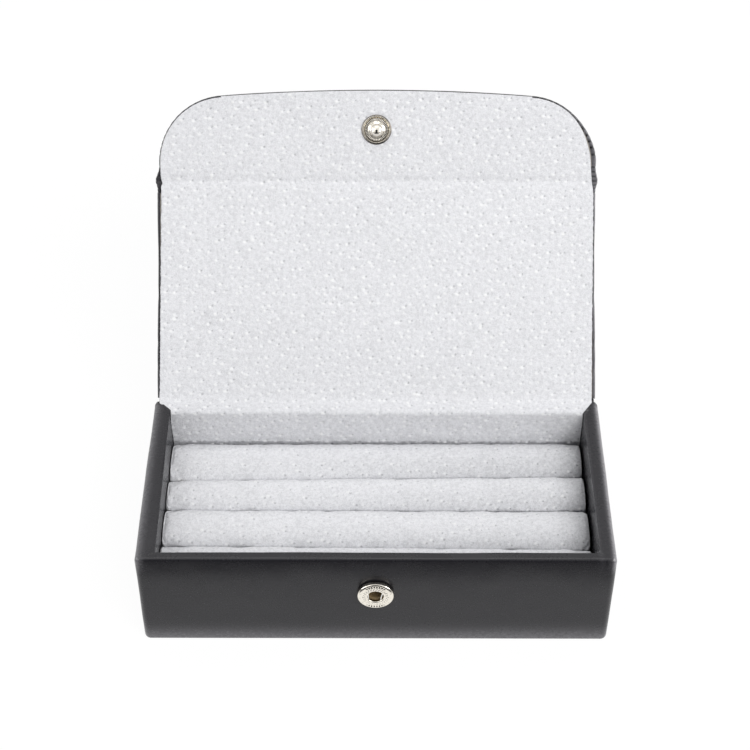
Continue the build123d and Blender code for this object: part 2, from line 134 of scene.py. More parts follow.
class Shader:
    """A node tree, filled one node at a time."""

    def __init__(self, name: str, tree: bpy.types.NodeTree | None = None) -> None:
        """Start an empty tree: a new material's, or one that is given.

        Args:
            name: The material's name.
            tree: A tree to fill instead of a new material's.
        """
        if tree is None:
            self.material = bpy.data.materials.new(f"look_{name}")
            self.material.use_nodes = True
            tree = self.material.node_tree
        self.tree = tree
        self.tree.nodes.clear()

    def node(
        self,
        kind: str,
        settings: dict[str, object] | None = None,
        inputs: dict[str | int, object] | None = None,
        output: int | str = 0,
    ) -> Wire:
        """Add a node.

        Args:
            kind: The node's type.
            settings: Its properties.
            inputs: Values or wires for its sockets.
            output: Which of its outputs to hand back.

        Returns:
            That output.
        """
        made = self.tree.nodes.new(kind)
        for key, value in (settings or {}).items():
            setattr(made, key, value)
        for key, value in (inputs or {}).items():
            socket = made.inputs[key]
            if isinstance(value, Wire):
                self.tree.links.new(value.socket, socket)
            else:
                wide = socket.type == "RGBA" and len(value) == 3
                socket.default_value = (*value, 1.0) if wide else value
        return Wire(self, made.outputs[output] if len(made.outputs) else None)

    def blend(self, factor: Wire, first: Wire | Colour, second: Wire | Colour) -> Wire:
        """Mix of two colours, where the factor is the share of the second."""
        inputs = {0: factor, 6: first, 7: second}
        return self.node("ShaderNodeMix", {"data_type": "RGBA"}, inputs, 2)

    def noise(self, size: float, detail: float) -> Wire:
        """Cloudy noise on the piece.

        Args:
            size: Width of a cloud in millimetres.
            detail: Octaves.

        Returns:
            Values round 0.5.
        """
        place = self.node("ShaderNodeTexCoord", output="Object")
        inputs = {"Vector": place, "Scale": 1 / (size * MM), "Detail": detail}
        return self.node("ShaderNodeTexNoise", inputs=inputs)

    def pores(self, size: float) -> Wire:
        """Soft irregular cells on the piece.

        Args:
            size: Width of a cell in millimetres.

        Returns:
            The distance inside them, in cell widths.
        """
        place = self.node("ShaderNodeTexCoord", output="Object")
        inputs = {"Vector": place, "Scale": 1 / (size * MM)}
        return self.node("ShaderNodeTexVoronoi", {"feature": "SMOOTH_F1"}, inputs)

    def bump(self, height: Wire, depth: float, after: Wire | None = None) -> Wire:
        """Surface relief.

        Args:
            height: Values from 0 to 1.
            depth: Their reach in millimetres.
            after: A normal to start from.

        Returns:
            The bumped normal.
        """
        inputs: dict[str | int, object] = {"Height": height, "Distance": depth * MM}
        if after is not None:
            inputs["Normal"] = after
        return self.node("ShaderNodeBump", inputs=inputs)

    def painted(self, name: str) -> Wire:
        """Value painted on the mesh's points."""
        return self.node("ShaderNodeAttribute", {"attribute_name": name}, output="Fac")

    def background(self) -> Wire:
        """Mark the rays that show a background: seen, mirrored or let through.

        Returns:
            1 for those rays, 0 for all others.
        """
        names = ("Is Camera Ray", "Is Glossy Ray", "Is Transmission Ray")
        seen, mirrored, through = (
            self.node("ShaderNodeLightPath", output=name) for name in names
        )
        return seen.larger(mirrored).larger(through)

    def finish(self, surface: Wire) -> bpy.types.Material:
        """Join the surface to the output and hand back the material."""
        self.node("ShaderNodeOutputMaterial", inputs={"Surface": surface})
        return self.material

    def principled(self, inputs: dict[str | int, object]) -> bpy.types.Material:
        """Finish the material with one Principled shader."""
        return self.finish(self.node("ShaderNodeBsdfPrincipled", inputs=inputs))


# ---------------------------------------------------------------- finishes


@dataclass(frozen=True)
class Leather:
    """Smooth calf finish over board: near black, satin, with a very fine grain."""

    name: str = "black_leather"
    colour: Colour = (0.0140, 0.0134, 0.0165)
    # Pale grey for the painted highlights on the tray's leather and for the paler band on the
    # lid's and flap's edges.
    pale_grey: Colour = (0.240, 0.235, 0.250)
    roughness: float = 0.27
    grain: float = 0.45
    grain_depth: float = 0.012
    dapple: float = 9.0
    dapple_depth: float = 0.072
    dapple_dull: float = 0.16
    grain_dull: float = 0.12
    refraction: float = 1.42

    def material(self) -> bpy.types.Material:
        """Build the leather, pale grey where "edge" is painted: painted highlights on the tray's
        leather, and a paler band along the lid's and flap's edges.

        Returns:
            The material.
        """
        shader = Shader(self.name)
        cloud = shader.noise(self.dapple, 3.0)
        fine = shader.noise(self.grain * 2.2, 4.0)
        pores = shader.pores(self.grain)
        # Share of pale grey: painted highlights on the tray's leather, a paler band on the lid's
        # and flap's edges.
        pale_share = shader.painted("edge") * (fine * 0.8 + 0.4)
        grained = shader.bump(pores * 0.6 + fine * 0.8, self.grain_depth)
        least = self.roughness - (self.dapple_dull + self.grain_dull) / 2
        return shader.principled(
            {
                "Base Color": shader.blend(pale_share, self.colour, self.pale_grey),
                "Roughness": cloud * self.dapple_dull + fine * self.grain_dull + least,
                "IOR": self.refraction,
                "Normal": shader.bump(cloud, self.dapple_depth, grained),
            }
        )


@dataclass(frozen=True)
class Suede:
    """Very light grey suede cloth with a short nap."""

    name: str = "grey_suede"
    colour: Colour = (0.815, 0.818, 0.843)
    shade: Colour = (0.15, 0.152, 0.165)
    glint: Colour = (0.985, 0.985, 0.985)
    nap: float = 0.36
    nap_depth: float = 0.28
    mottle: float = 0.135
    brushed: float = 0.03
    # Strengths of the painted shade in dips and gloom and of the painted highlight on dots.
    prick_shade: float = 0.29
    gloom_shade: float = 0.75
    dot_glint: float = 0.60
    sheen: float = 0.15

    def material(self) -> bpy.types.Material:
        """Build the suede: painted shade in the dips and where "gloom" is painted, painted
        highlights on the lifted dots, over a mottled tone.

        Returns:
            The material.
        """
        shader = Shader(self.name)
        nap = shader.noise(self.nap, 3.0)
        tuft = shader.noise(self.nap * 3.0, 5.0)
        # Painted shade in the quills' dips and painted highlight on their lifted dots.
        dip_shade = shader.painted("dip") + (tuft - 0.5) * 0.7
        dot_highlight = shader.painted("lift") + (tuft - 0.5) * 1.1
        shade = (tuft.between(0.38, 0.68) + nap.between(0.36, 0.64)) * self.mottle
        shade = shade + shader.noise(11.0, 2.0).between(0.35, 0.75) * self.brushed
        shade = shade + dip_shade.between(0.22, 0.72) * self.prick_shade
        shade = shade + shader.painted("gloom") * self.gloom_shade
        base = shader.blend(shade, self.colour, self.shade)
        shine = dot_highlight.between(0.12, 0.90) * self.dot_glint
        return shader.principled(
            {
                "Base Color": shader.blend(shine, base, self.glint),
                "Roughness": nap * 0.1 + 0.88,
                "Specular IOR Level": 0.12,
                "Sheen Weight": self.sheen,
                "Sheen Roughness": 0.45,
                "Sheen Tint": (1.0, 1.0, 1.0),
                "Normal": shader.bump(nap * 0.8 + tuft * 0.5, self.nap_depth),
            }
        )


@dataclass(frozen=True)
class Nickel:
    """Nickel plate, warm and polished, with the small dents of pressing."""

    name: str = "nickel"
    colour: Colour = (0.87, 0.825, 0.74)
    # Dark tone for the painted shade on the stud and socket and for random dark flecks.
    shade_and_fleck: Colour = (0.085, 0.070, 0.055)
    roughness: float = 0.12
    dents: float = 0.55
    metal: float = 1.0
    flecks: float = 0.30

    def material(self) -> bpy.types.Material:
        """Build the plate, with painted shade where "dip" is painted and small dark flecks at
        random.

        Returns:
            The material.
        """
        shader = Shader(self.name)
        cloud, scratch = shader.noise(self.dents, 3.0), shader.noise(0.22, 2.0)
        # Painted shade where "dip" is painted, plus random dark flecks.
        darkening = shader.painted("dip") + cloud.between(0.60, 0.66) * self.flecks
        return shader.principled(
            {
                "Base Color": shader.blend(darkening, self.colour, self.shade_and_fleck),
                "Metallic": self.metal,
                "Roughness": scratch * 0.10 + cloud * 0.10 + (self.roughness - 0.08),
                "Normal": shader.bump(cloud + scratch * 0.25, 0.02),
            }
        )


@dataclass(frozen=True)
class Greyboard:
    """Pressed grey board inside the walls."""

    name: str = "greyboard"
    colour: Colour = (0.30, 0.28, 0.25)
    fleck: Colour = (0.46, 0.43, 0.38)

    def material(self) -> bpy.types.Material:
        """Build the board.

        Returns:
            The material.
        """
        shader = Shader(self.name)
        pulp = shader.noise(1.6, 5.0)
        colour = shader.blend(pulp.between(0.45, 0.7), self.colour, self.fleck)
        normal = shader.bump(pulp, 0.06)
        return shader.principled({"Base Color": colour, "Roughness": 0.9, "Normal": normal})


@dataclass(frozen=True)
class Paper:
    """White sweep under and behind the box, which keeps a trace of shadow."""

    name: str = "white_sweep"
    colour: Colour = (0.86, 0.86, 0.86)
    glow: float = 1.02
    shown: float = 0.93

    def material(self) -> bpy.types.Material:
        """Build the sweep: matt for the light, nearly white as a background.

        Returns:
            The material.
        """
        shader = Shader(self.name)
        share = shader.background() * self.shown
        matt = {"Color": self.colour, "Roughness": 0.6}
        bright = {"Color": (1.0, 1.0, 1.0), "Strength": self.glow}
        inputs = {
            0: share,
            1: shader.node("ShaderNodeBsdfDiffuse", inputs=matt),
            2: shader.node("ShaderNodeEmission", inputs=bright),
        }
        return shader.finish(shader.node("ShaderNodeMixShader", inputs=inputs))


class Finish(Enum):
    """The finishes that the pieces are dressed in."""

    LEATHER = Leather()
    SUEDE = Suede()
    # The lining's suede in a lighter colour, which makes up for the painted shade laid on the
    # rolls.
    ROLL = Suede(name="roll_suede", colour=(0.870, 0.873, 0.898))
    NICKEL = Nickel()
    WELL = Nickel("nickel_inner", (0.20, 0.145, 0.075), (0.1, 0.08, 0.04), 0.5, metal=0.1)
    WIRE = Nickel(name="spring_wire", colour=(0.80, 0.79, 0.77), roughness=0.14)
    BOARD = Greyboard()
    FOAM = Greyboard(name="roll_foam", colour=(0.78, 0.76, 0.70), fleck=(0.86, 0.84, 0.8))
    FLAG = Greyboard(name="dark_flag", colour=(0.02, 0.02, 0.02), fleck=(0.03, 0.03, 0.03))
    PAPER = Paper()

    def material(self) -> bpy.types.Material:
        """Build the finish's material, once.

        Returns:
            The material.
        """
        if self not in made_finishes:
            made_finishes[self] = self.value.material()
        return made_finishes[self]


made_finishes: dict[Finish, bpy.types.Material] = {}


# ---------------------------------------------------------------- surfaces


class Relief:
    """Seeded uneven surfaces, worked out on arrays."""

    def __init__(self, seed: int) -> None:
        """Make the table of random values, which the seed sets."""
        self.table = np.random.default_rng(seed).random((256, 256))

    def _lattice(self, column: Array, row: Array) -> Array:
        """Random value of each lattice point."""
        return self.table[column.astype(int) % 256, row.astype(int) % 256]

    def cloud(self, u: Array, v: Array | float, size: float) -> Array:
        """Smooth noise from -1 to 1.

        Args:
            u: First coordinate.
            v: Second coordinate.
            size: Width of a cloud, in the same unit.

        Returns:
            The noise.
        """
        a, b = u / size, v / size + u * 0
        i, j = np.floor(a), np.floor(b)
        s, t = a - i, b - j
        s, t = s * s * (3 - 2 * s), t * t * (3 - 2 * t)
        low = self._lattice(i, j) * (1 - s) + self._lattice(i + 1, j) * s
        high = self._lattice(i, j + 1) * (1 - s) + self._lattice(i + 1, j + 1) * s
        return (low * (1 - t) + high * t) * 2 - 1

    def quills(self, u: Array, v: Array, pitch: float) -> tuple[Array, Array]:
        """The cloth's scattered pricks: a raised dot beside a small dip.

        Args:
            u: Across the cloth in millimetres.
            v: Along the cloth in millimetres.
            pitch: Mean distance between pricks.

        Returns:
            How deep the dips and how high the dots are, each from 0 to 1.
        """
        stray, dot_length, dip_radius, dip_shift = 0.70, 0.6, 0.40, (0.80, 0.40)
        row_pitch = pitch * 0.866
        row = np.floor(v / row_pitch)
        dip, dot = np.zeros_like(u), np.zeros_like(u)
        for down in (-1, 0, 1):
            j = row + down
            shift = (j % 2) * 0.5
            column = np.floor(u / pitch - shift)
            for side in (-1, 0, 1):
                i = column + side
                stray_u = stray * (self._lattice(i * 3, j * 5) - 0.5)
                stray_v = stray * (self._lattice(i * 7 + 11, j * 3 + 5) - 0.5)
                strength = 0.55 + 0.45 * self._lattice(i + 91, j + 37)
                du = u - (i + shift + 0.5 + stray_u) * pitch
                dv = v - (j + 0.5 + stray_v) * row_pitch
                wide = 0.45 + 0.40 * self._lattice(i + 53, j + 71)
                dot += strength * bell(np.hypot((du + dv * 0.3) / wide, dv / dot_length))
                hollow = np.hypot(du - dip_shift[0], dv - dip_shift[1])
                dip += strength * bell(hollow / dip_radius)
        return np.clip(dip, 0, 1), np.clip(dot, 0, 1)


@dataclass
class Surface:
    """A grid of points with values painted on them, ready to become a mesh."""

    points: Array
    closed: bool = False
    painted: dict[str, Array] = field(default_factory=dict)

    def axes(self) -> Array:
        """X, Y and Z of the points, each as a grid."""
        return np.moveaxis(self.points, 2, 0)

    def push(self, amount: Array) -> None:
        """Move the points along their normals.

        Args:
            amount: How far, in millimetres.
        """
        if self.closed:
            along = np.roll(self.points, -1, 1) - np.roll(self.points, 1, 1)
        else:
            along = np.gradient(self.points, axis=1)
        normal = np.cross(np.gradient(self.points, axis=0), along)
        length = np.linalg.norm(normal, axis=2, keepdims=True)
        self.points = self.points + normal / np.maximum(length, 1e-9) * amount[..., None]

    def mesh(self, name: str, scale: float, capped: bool) -> bpy.types.Mesh:
        """Turn the grid into quads.

        Args:
            name: The mesh's name.
            scale: How many times its real size it is made.
            capped: Whether the first and the last row are closed with a face each.

        Returns:
            The mesh.
        """
        rows, columns = self.points.shape[:2]
        grid = np.arange(rows * columns).reshape(rows, columns)
        ends = [grid[0].tolist(), grid[-1, ::-1].tolist()] if capped else []
        if self.closed:
            grid = np.concatenate([grid, grid[:, :1]], 1)
        quads = np.stack([grid[:-1, :-1], grid[:-1, 1:], grid[1:, 1:], grid[1:, :-1]], -1)
        mesh = bpy.data.meshes.new(name)
        points = (self.points.reshape(-1, 3) * MM * scale).tolist()
        mesh.from_pydata(points, [], quads.reshape(-1, 4).tolist() + ends)
        return mesh


def add_object(mesh: bpy.types.Mesh) -> Piece:
    """Put a mesh into the scene under its own name.

    Args:
        mesh: The mesh.

    Returns:
        The new object.
    """
    piece = bpy.data.objects.new(mesh.name, mesh)
    bpy.context.scene.collection.objects.link(piece)
    return piece


def make_piece(
    name: str,
    surface: Surface,
    finish: Finish,
    capped: bool = False,
    hole: tuple[Vector, float] | None = None,
) -> Piece:
    """Turn a grid into one smooth mesh without double points or collapsed faces.

    Args:
        name: The piece's name.
        surface: Its grid, in millimetres.
        finish: What it is dressed in.
        capped: Whether its ends are closed.
        hole: Middle and radius, in metres, of a place where faces are left out.

    Returns:
        The new object.
    """
    weld = 0.002 * MM
    mesh = surface.mesh(name, 1.0, capped)
    for key in sorted(surface.painted):
        layer = mesh.attributes.new(key, "FLOAT", "POINT")
        layer.data.foreach_set("value", surface.painted[key].ravel().astype(np.float32))
    mesh.polygons.foreach_set("use_smooth", [True] * len(mesh.polygons))
    mesh.materials.append(finish.material())
    work = bmesh.new()
    work.from_mesh(mesh)
    bmesh.ops.remove_doubles(work, verts=work.verts, dist=weld)
    bmesh.ops.dissolve_degenerate(work, edges=work.edges, dist=weld * 0.5)
    if hole is not None:
        inside = [v for v in work.verts if (v.co - hole[0]).length < hole[1]]
        bmesh.ops.delete(work, geom=inside, context="VERTS")
    work.to_mesh(mesh)
    work.free()
    mesh.update()
    return add_object(mesh)


def fit(piece: Piece, body: str, node: str) -> Piece:
    """Let a piece ride on a body in place of a CAD node."""
    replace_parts(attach(piece, body), node)
    return piece


def fit_between(
    piece: Piece, node: str, start: Point, end: Point
) -> Piece:
    """Put a piece in place of a CAD node, with its transform baked into its mesh.

    Args:
        piece: The piece.
        node: The CAD node.
        start: Y and Z where the piece starts; not used.
        end: Y and Z where it ends; not used.

    Returns:
        The piece.
    """
    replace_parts(piece, node)
    places = [(0, y * MM, z * MM) for y, z in (start, end)]
    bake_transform(piece)
    return piece


def bell(distance: Array | float) -> Array:
    """1 at 0, and soon 0 away from it."""
    return np.exp(-(np.asarray(distance) ** 2))


def spaced(low: float, high: float, step: float) -> Array:
    """Even places from low to high, about a step apart."""
    return np.linspace(low, high, max(2, int(round((high - low) / step)) + 1))


def arc(centre: Point, radius: float, first: float, last: float, steps: int) -> list[Point]:
    """Points on an arc.

    Args:
        centre: Its middle.
        radius: Its radius.
        first: Start angle in degrees.
        last: End angle in degrees.
        steps: Number of runs.

    Returns:
        The points.
    """
    angles = np.radians(np.linspace(first, last, steps + 1))
    return [
        (centre[0] + radius * math.cos(a), centre[1] + radius * math.sin(a)) for a in angles
    ]


def bend(start: Point, knee: Point, end: Point) -> list[Point]:
    """Soft curve in nine points.

    Args:
        start: Its first point.
        knee: The point that it is drawn towards.
        end: Its last point.

    Returns:
        The points.
    """
    a, b, c = np.array([start, knee, end])
    t = np.linspace(0, 1, 9)[:, None]
    curve = (1 - t) ** 2 * a + 2 * t * (1 - t) * b + t**2 * c
    return [tuple(point) for point in curve]


def lathe(profile: list[Point], spin: int, ripple: Callable | None = None) -> Surface:
    """Turn a profile of radius and height about the Z axis.

    Args:
        profile: Points of radius and height.
        spin: Number of steps round the axis.
        ripple: Change of height for radius and angle.

    Returns:
        The turned grid.
    """
    radius, height = np.array(profile, float).T
    angle = np.arange(spin) * 2 * math.pi / spin
    r, a = np.meshgrid(radius, angle, indexing="ij")
    z = np.repeat(height[:, None], spin, 1)
    if ripple is not None:
        z = z + ripple(r, a)
    return Surface(np.stack([r * np.cos(a), -r * np.sin(a), z], -1), closed=True)


def smooth_between(known: Array, values: Array, wanted: Array) -> Array:
    """Catmull-Rom curve through values at even places.

    Args:
        known: The even places.
        values: One value, or one row of values, for each place.
        wanted: Where to read the curve.

    Returns:
        The values there.
    """
    place = (wanted - known[0]) / (known[1] - known[0])
    base = np.clip(np.floor(place).astype(int), 0, len(known) - 2)
    t = place - base
    if values.ndim > 1:
        t = t[:, None]
    before, first = values[np.maximum(base - 1, 0)], values[base]
    second, after = values[base + 1], values[np.minimum(base + 2, len(known) - 1)]
    return (
        first
        + 0.5 * t * (second - before)
        + t * t * (before - 2.5 * first + 2 * second - 0.5 * after)
        + t * t * t * (1.5 * (first - second) + 0.5 * (after - before))
    )


# ---------------------------------------------------------------- shared sizes


@dataclass(frozen=True)
class Slant:
    """A flat panel's frame: its length along, its depth under the lined face."""

    y: float
    z: float
    lean: float
    face: float

    def at(self, x: Array | float, along: Array | float, depth: Array | float) -> Array:
        """Points of the panel.

        Args:
            x: Across.
            along: Distance from the panel's axis.
            depth: Distance under the lined face.

        Returns:
            The points.
        """
        x, along, depth = np.broadcast_arrays(x, along, depth)
        s, c = math.sin(math.radians(self.lean)), math.cos(math.radians(self.lean))
        lift = self.face - depth
        y, z = self.y + along * s - lift * c, self.z + along * c + lift * s
        return np.stack([x, y, z], -1).astype(float)

    def point(self, along: float, depth: float) -> Point:
        """Y and Z of one point of the panel."""
        place = self.at(0.0, along, depth)
        return float(place[1]), float(place[2])


@dataclass(frozen=True)
class Sizes:
    """Sizes that several sub-assemblies share, read from the frame where it has them."""

    half_width: float
    height: float
    lid: Slant
    flap: Slant
    lid_reach: float
    half_depth: float = 35.0
    suede: float = 0.7
    corner: float = 2.0
    rim_radius: float = 1.8
    foot_radius: float = 1.5
    front_rim: float = 3.8
    side_rim: float = 5.6
    rear_rim: float = 5.2
    tray_floor: float = 4.0
    cap: float = 39.95
    cap_back: float = 33.3
    lid_half: float = 74.1
    lid_thick: float = 3.2
    lid_from: float = 2.4
    lid_to: float = 70.65
    flap_half: float = 73.5
    flap_thick: float = 2.9
    flap_from: float = 5.25
    flap_reach: float = 30.7
    flap_corner: float = 23.0
    flap_bow: float = 700.0
    flap_turn: float = 34.4
    corner_share: float = 0.42
    stud_along: float = 17.55
    stud_height: float = 24.8

    @classmethod
    def from_frame(cls) -> "Sizes":
        """Read the tray's box, the two axes and the rest angles from the frame.

        Returns:
            The sizes.
        """
        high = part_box("wall_leather")[1]
        joints = {joint["name"]: joint for joint in frame["joints"]}
        hinge, fold = joints["lid_hinge"], joints["flap_fold"]
        lean = -hinge["range_deg"][0] - 90.0
        flap_lean = lean - (90.0 + fold["range_deg"][0])
        hinge_y, hinge_z = (value / MM for value in hinge["pos_m"][1:])
        fold_y, fold_z = (value / MM for value in fold["pos_m"][1:])
        rise = math.radians(lean)
        return cls(
            half_width=high.x / MM,
            height=high.z / MM,
            lid=Slant(hinge_y, hinge_z, lean, -0.3),
            flap=Slant(fold_y, fold_z, flap_lean, 2.05),
            lid_reach=(fold_y - hinge_y) * math.sin(rise) + (fold_z - hinge_z) * math.cos(rise),
        )

    def outline(self, share: Array, side_inset: float, tip_inset: float) -> Array:
        """Half of the flap's outline, from the fold round the corner to the middle.

        Args:
            share: Places along the half, from 0 to 1.
            side_inset: How far the outline is drawn in at the side.
            tip_inset: How far it is drawn in at the front edge.

        Returns:
            X and distance from the fold of each place.
        """
        bow_low = self.flap_reach - self.flap_bow
        middle_x = self.flap_half - self.flap_corner
        middle_v = bow_low + math.sqrt((self.flap_bow - self.flap_corner) ** 2 - middle_x**2)
        turn = math.atan2(middle_v - bow_low, middle_x)
        corner, side = self.corner_share, middle_v - self.flap_from
        straight = side / (side + self.flap_turn) * corner
        on_arc = np.clip((share - straight) / (corner - straight), 0, 1)
        radius = self.flap_corner - side_inset - (tip_inset - side_inset) * on_arc
        x = middle_x + radius * np.cos(on_arc * turn)
        v = middle_v + radius * np.sin(on_arc * turn)
        v = np.where(share < straight, self.flap_from + side * share / straight, v)
        on_bow = np.clip((share - corner) / (1 - corner), 0, 1)
        angle = turn + (math.pi / 2 - turn) * on_bow
        bow_x = (self.flap_bow - tip_inset) * np.cos(angle)
        bow_v = bow_low + (self.flap_bow - tip_inset) * np.sin(angle)
        on_tip = share > corner
        return np.stack([np.where(on_tip, bow_x, x), np.where(on_tip, bow_v, v)], 1)

    def bow_rise(self, x: Array) -> Array:
        """How far the flap's front edge stands out past the ends of its bow.

        Args:
            x: Across the flap.

        Returns:
            The rise, 0 past the ends.
        """
        end = self.outline(np.array([self.corner_share]), 0.0, 0.0)[0, 0]
        drop = np.sqrt(self.flap_bow**2 - np.minimum(np.abs(x), end) ** 2)
        return drop - math.sqrt(self.flap_bow**2 - end**2)

    def crease(self) -> list[Point]:
        """The cloth's way between lid and flap: it dips a little where it bends.

        Returns:
            Y and Z of its points.
        """
        start = self.lid.point(self.lid_to, 0.0)
        end = self.flap.point(self.flap_from, 0.0)
        knees = self.lid.point(self.lid_reach, 0.0), self.flap.point(0.0, 0.0)
        middle = np.mean(knees, 0)
        lean = math.radians((self.lid.lean + self.flap.lean) / 2)
        points = []
        for t in np.linspace(0, 1, 25):
            y, z = (np.interp(t, (0, 0.5, 1), (start[i], middle[i], end[i])) for i in (0, 1))
            dip = 0.36 * float(bell((t - 0.48) / 0.17)) * math.sin(math.pi * t)
            points.append((y + dip * math.cos(lean), z - dip * math.sin(lean)))
        return points


# ---------------------------------------------------------------- lining


@dataclass
class Course:
    """The way of the lining, from the tray's floor over the rear wall to the flap."""

    sizes: Sizes
    step: float = 0.36
    turn: float = 1.3

    def __post_init__(self) -> None:
        """Lay out the course as points a short step apart, and measure it."""
        size, turn = self.sizes, self.turn
        wall_y = size.half_depth - size.rear_rim
        points = [(wall_y, z) for z in spaced(size.tray_floor, size.cap - turn, 0.5)]
        points += arc((wall_y + turn, size.cap - turn), turn, 180, 90, 6)[1:]
        points += [(y, size.cap) for y in spaced(wall_y + turn, size.cap_back, 0.45)[1:]]
        end = size.lid.point(size.lid_from, 0.0)
        slope = math.tan(math.radians(size.lid.lean))
        knee = (end[0] - (end[1] - size.cap) * slope, size.cap)
        points += bend((size.cap_back, size.cap), knee, end)[1:]
        lid = spaced(size.lid_from, size.lid_to, self.step)[1:]
        points += [size.lid.point(along, 0.0) for along in lid]
        points += size.crease()[1:]
        self.points = np.array(points)
        run = np.linalg.norm(np.diff(self.points, axis=0), axis=1)
        self.length = np.concatenate([[0.0], np.cumsum(run)])

    def index(self, y: float, z: float) -> int:
        """Number of the course's point nearest to a place."""
        return int(np.argmin(np.hypot(self.points[:, 0] - y, self.points[:, 1] - z)))


@dataclass
class Lining:
    """The suede cloth: rear wall, hinge, lid, fold and flap, with one pattern throughout."""

    sizes: Sizes
    course: Course
    column: float = 0.36
    pitch: float = 3.45
    dip_depth: float = 0.26
    dot_height: float = 0.14
    nap: float = 0.045
    edge: tuple[Point, ...] = ((0.10, 0.55), (0.0, 0.32), (0.06, 0.12), (0.18, 0.02))
    edge_width: float = 0.35
    edge_fade: float = 0.8
    dark_below: float = 26.0
    shadow: float = 0.6
    faint_below: float = 30.0
    faint_shadow: float = 0.08
    corner_shadow: float = 0.40
    patchiness: float = 0.07
    tray_overlap: float = 0.35
    tray_right: float = 4.7
    lid_inset: Point = (0.75, 1.15)
    lid_flare: Point = (-0.50, 0.45)
    lid_run: float = 52.0
    hinge_run: float = 4.2
    fray: float = 0.35
    relief: Relief = field(default_factory=lambda: Relief(11))

    def texture(self, x: Array, along: Array) -> tuple[Array, Array, Array]:
        """Height of the cloth and its painted values.

        Args:
            x: Across the cloth.
            along: Along the cloth.

        Returns:
            Height in millimetres, dips and dots from 0 to 1.
        """
        dip, dot = self.relief.quills(x, along, self.pitch)
        height = dot * self.dot_height - dip * self.dip_depth
        height += self.nap * self.relief.cloud(x, along, 0.9)
        height += 0.06 * self.relief.cloud(x + 40, along, 7.0)
        return height, dip, dot

    def columns(self, left: Array, right: Array) -> tuple[Array, Array, Array]:
        """Columns of a strip of cloth, with rounded edges.

        Args:
            left: Where each row ends on the left.
            right: Where each row ends on the right.

        Returns:
            X of each point, depth of each point and how far it is from an edge.
        """
        wide = self.edge_width
        inner = spaced(wide, float(np.max(right - left)) - wide, self.column)
        share = (inner - inner[0]) / (inner[-1] - inner[0])
        x = [left + inset for inset, _ in self.edge]
        x += [(left + wide) * (1 - part) + (right - wide) * part for part in share]
        x += [right - inset for inset, _ in reversed(self.edge)]
        drop = np.array([drop for _, drop in self.edge])
        depth = np.concatenate([drop, np.zeros(len(share)), drop[::-1]])
        x, depth = np.stack(x, 1), np.repeat(depth[None], len(left), 0)
        return x, depth, np.minimum(x - left[:, None], right[:, None] - x)

    def ends(self, first: int, last: int) -> tuple[Array, Array]:
        """Left and right end of the cloth's rows, frayed a little on the right.

        Args:
            first: Number of the first row.
            last: Number of the last row.

        Returns:
            X of both ends.
        """
        size = self.sizes
        y, z = self.course.points[first : last + 1].T
        along = self.course.length[first : last + 1]
        share = np.clip((y - (size.half_depth - size.rear_rim)) / self.hinge_run, 0, 1)
        share = np.where(z < size.cap - 1.0, 0.0, share)
        up = np.clip((z - size.height) / self.lid_run, 0, 1)
        lid_left, lid_right = (
            size.lid_half - inset + flare * up
            for inset, flare in zip(self.lid_inset, self.lid_flare)
        )
        tray_left = size.half_width - size.side_rim + self.tray_overlap
        tray_right = size.half_width - self.tray_right
        left = tray_left + (lid_left - tray_left) * share
        right = tray_right + (lid_right - tray_right) * share
        crossing = (share > 0.02) & (share < 1)
        fray = self.relief.cloud(along, 3.0, 0.7) * self.fray
        right = right + np.where(crossing, fray - 0.25, fray * 0.10)
        right = right + self.relief.cloud(along, 17.0, 0.5) * 0.10
        return self.relief.cloud(along, 9.0, 0.6) * 0.10 - left, right

    def strip(self, name: str, first: int, last: int, left: Array, right: Array) -> Piece:
        """A strip of the cloth between two points of its course.

        Args:
            name: The piece's name.
            first: Number of its first point.
            last: Number of its last point.
            left: Left end of each row.
            right: Right end of each row.

        Returns:
            The piece.
        """
        path = self.course.points[first : last + 1]
        heading = np.gradient(self.course.points, axis=0)[first : last + 1]
        heading = heading / np.linalg.norm(heading, axis=1, keepdims=True)
        x, depth, edge = self.columns(left, right)
        along = np.repeat(self.course.length[first : last + 1][:, None], x.shape[1], 1)
        height, dip, dot = self.texture(x, along)
        fade = np.clip(edge / self.edge_fade, 0, 1)
        lift = height * fade - depth
        y = path[:, :1] - heading[:, 1:] * lift
        z = path[:, 1:] + heading[:, :1] * lift
        surface = Surface(np.stack([x, y, z], -1))
        # Painted shadow: a ragged dark line where the top roll meets the rear wall, a faint
        # shade above it and the right wall's shadow in the corner, with a random patchy tone.
        ragged = self.dark_below + 0.35 * self.relief.cloud(x, z, 0.75)
        below = self.shadow * np.clip((ragged - z) / 0.6, 0, 1)
        below = below + self.faint_shadow * np.clip((self.faint_below - z) / 4, 0, 1)
        corner = np.exp(-(right[:, None] - x) / 7.0) * np.clip((39.0 - z) / 10.0, 0, 1)
        coarse = self.relief.cloud(x, along, 0.8) + self.relief.cloud(x, along + 30, 1.7)
        gloom = below + self.corner_shadow * corner + self.patchiness * coarse
        gloom = np.clip(gloom, 0, 1)
        gloom = gloom * (y < self.sizes.half_depth - 3)
        # dip and lift carry the painted shade and highlight of the quills.
        surface.painted = {"dip": dip * fade, "lift": dot * fade, "gloom": gloom}
        return make_piece(name, surface, Finish.SUEDE)

    def flap_edges(self, share: Array) -> tuple[Array, Array]:
        """Left and right outline of the flap's cloth.

        Args:
            share: Places from the fold, 0, to the middle of the front edge, 1.

        Returns:
            Points of X and distance from the fold, left and right.
        """
        left = self.sizes.outline(share, 0.42, 0.25) * (-1, 1)
        right = self.sizes.outline(share, 0.95, 0.35)
        right[:, 0] -= 0.55 * bell((right[:, 1] - 14.0) / 8.5)
        return left, right

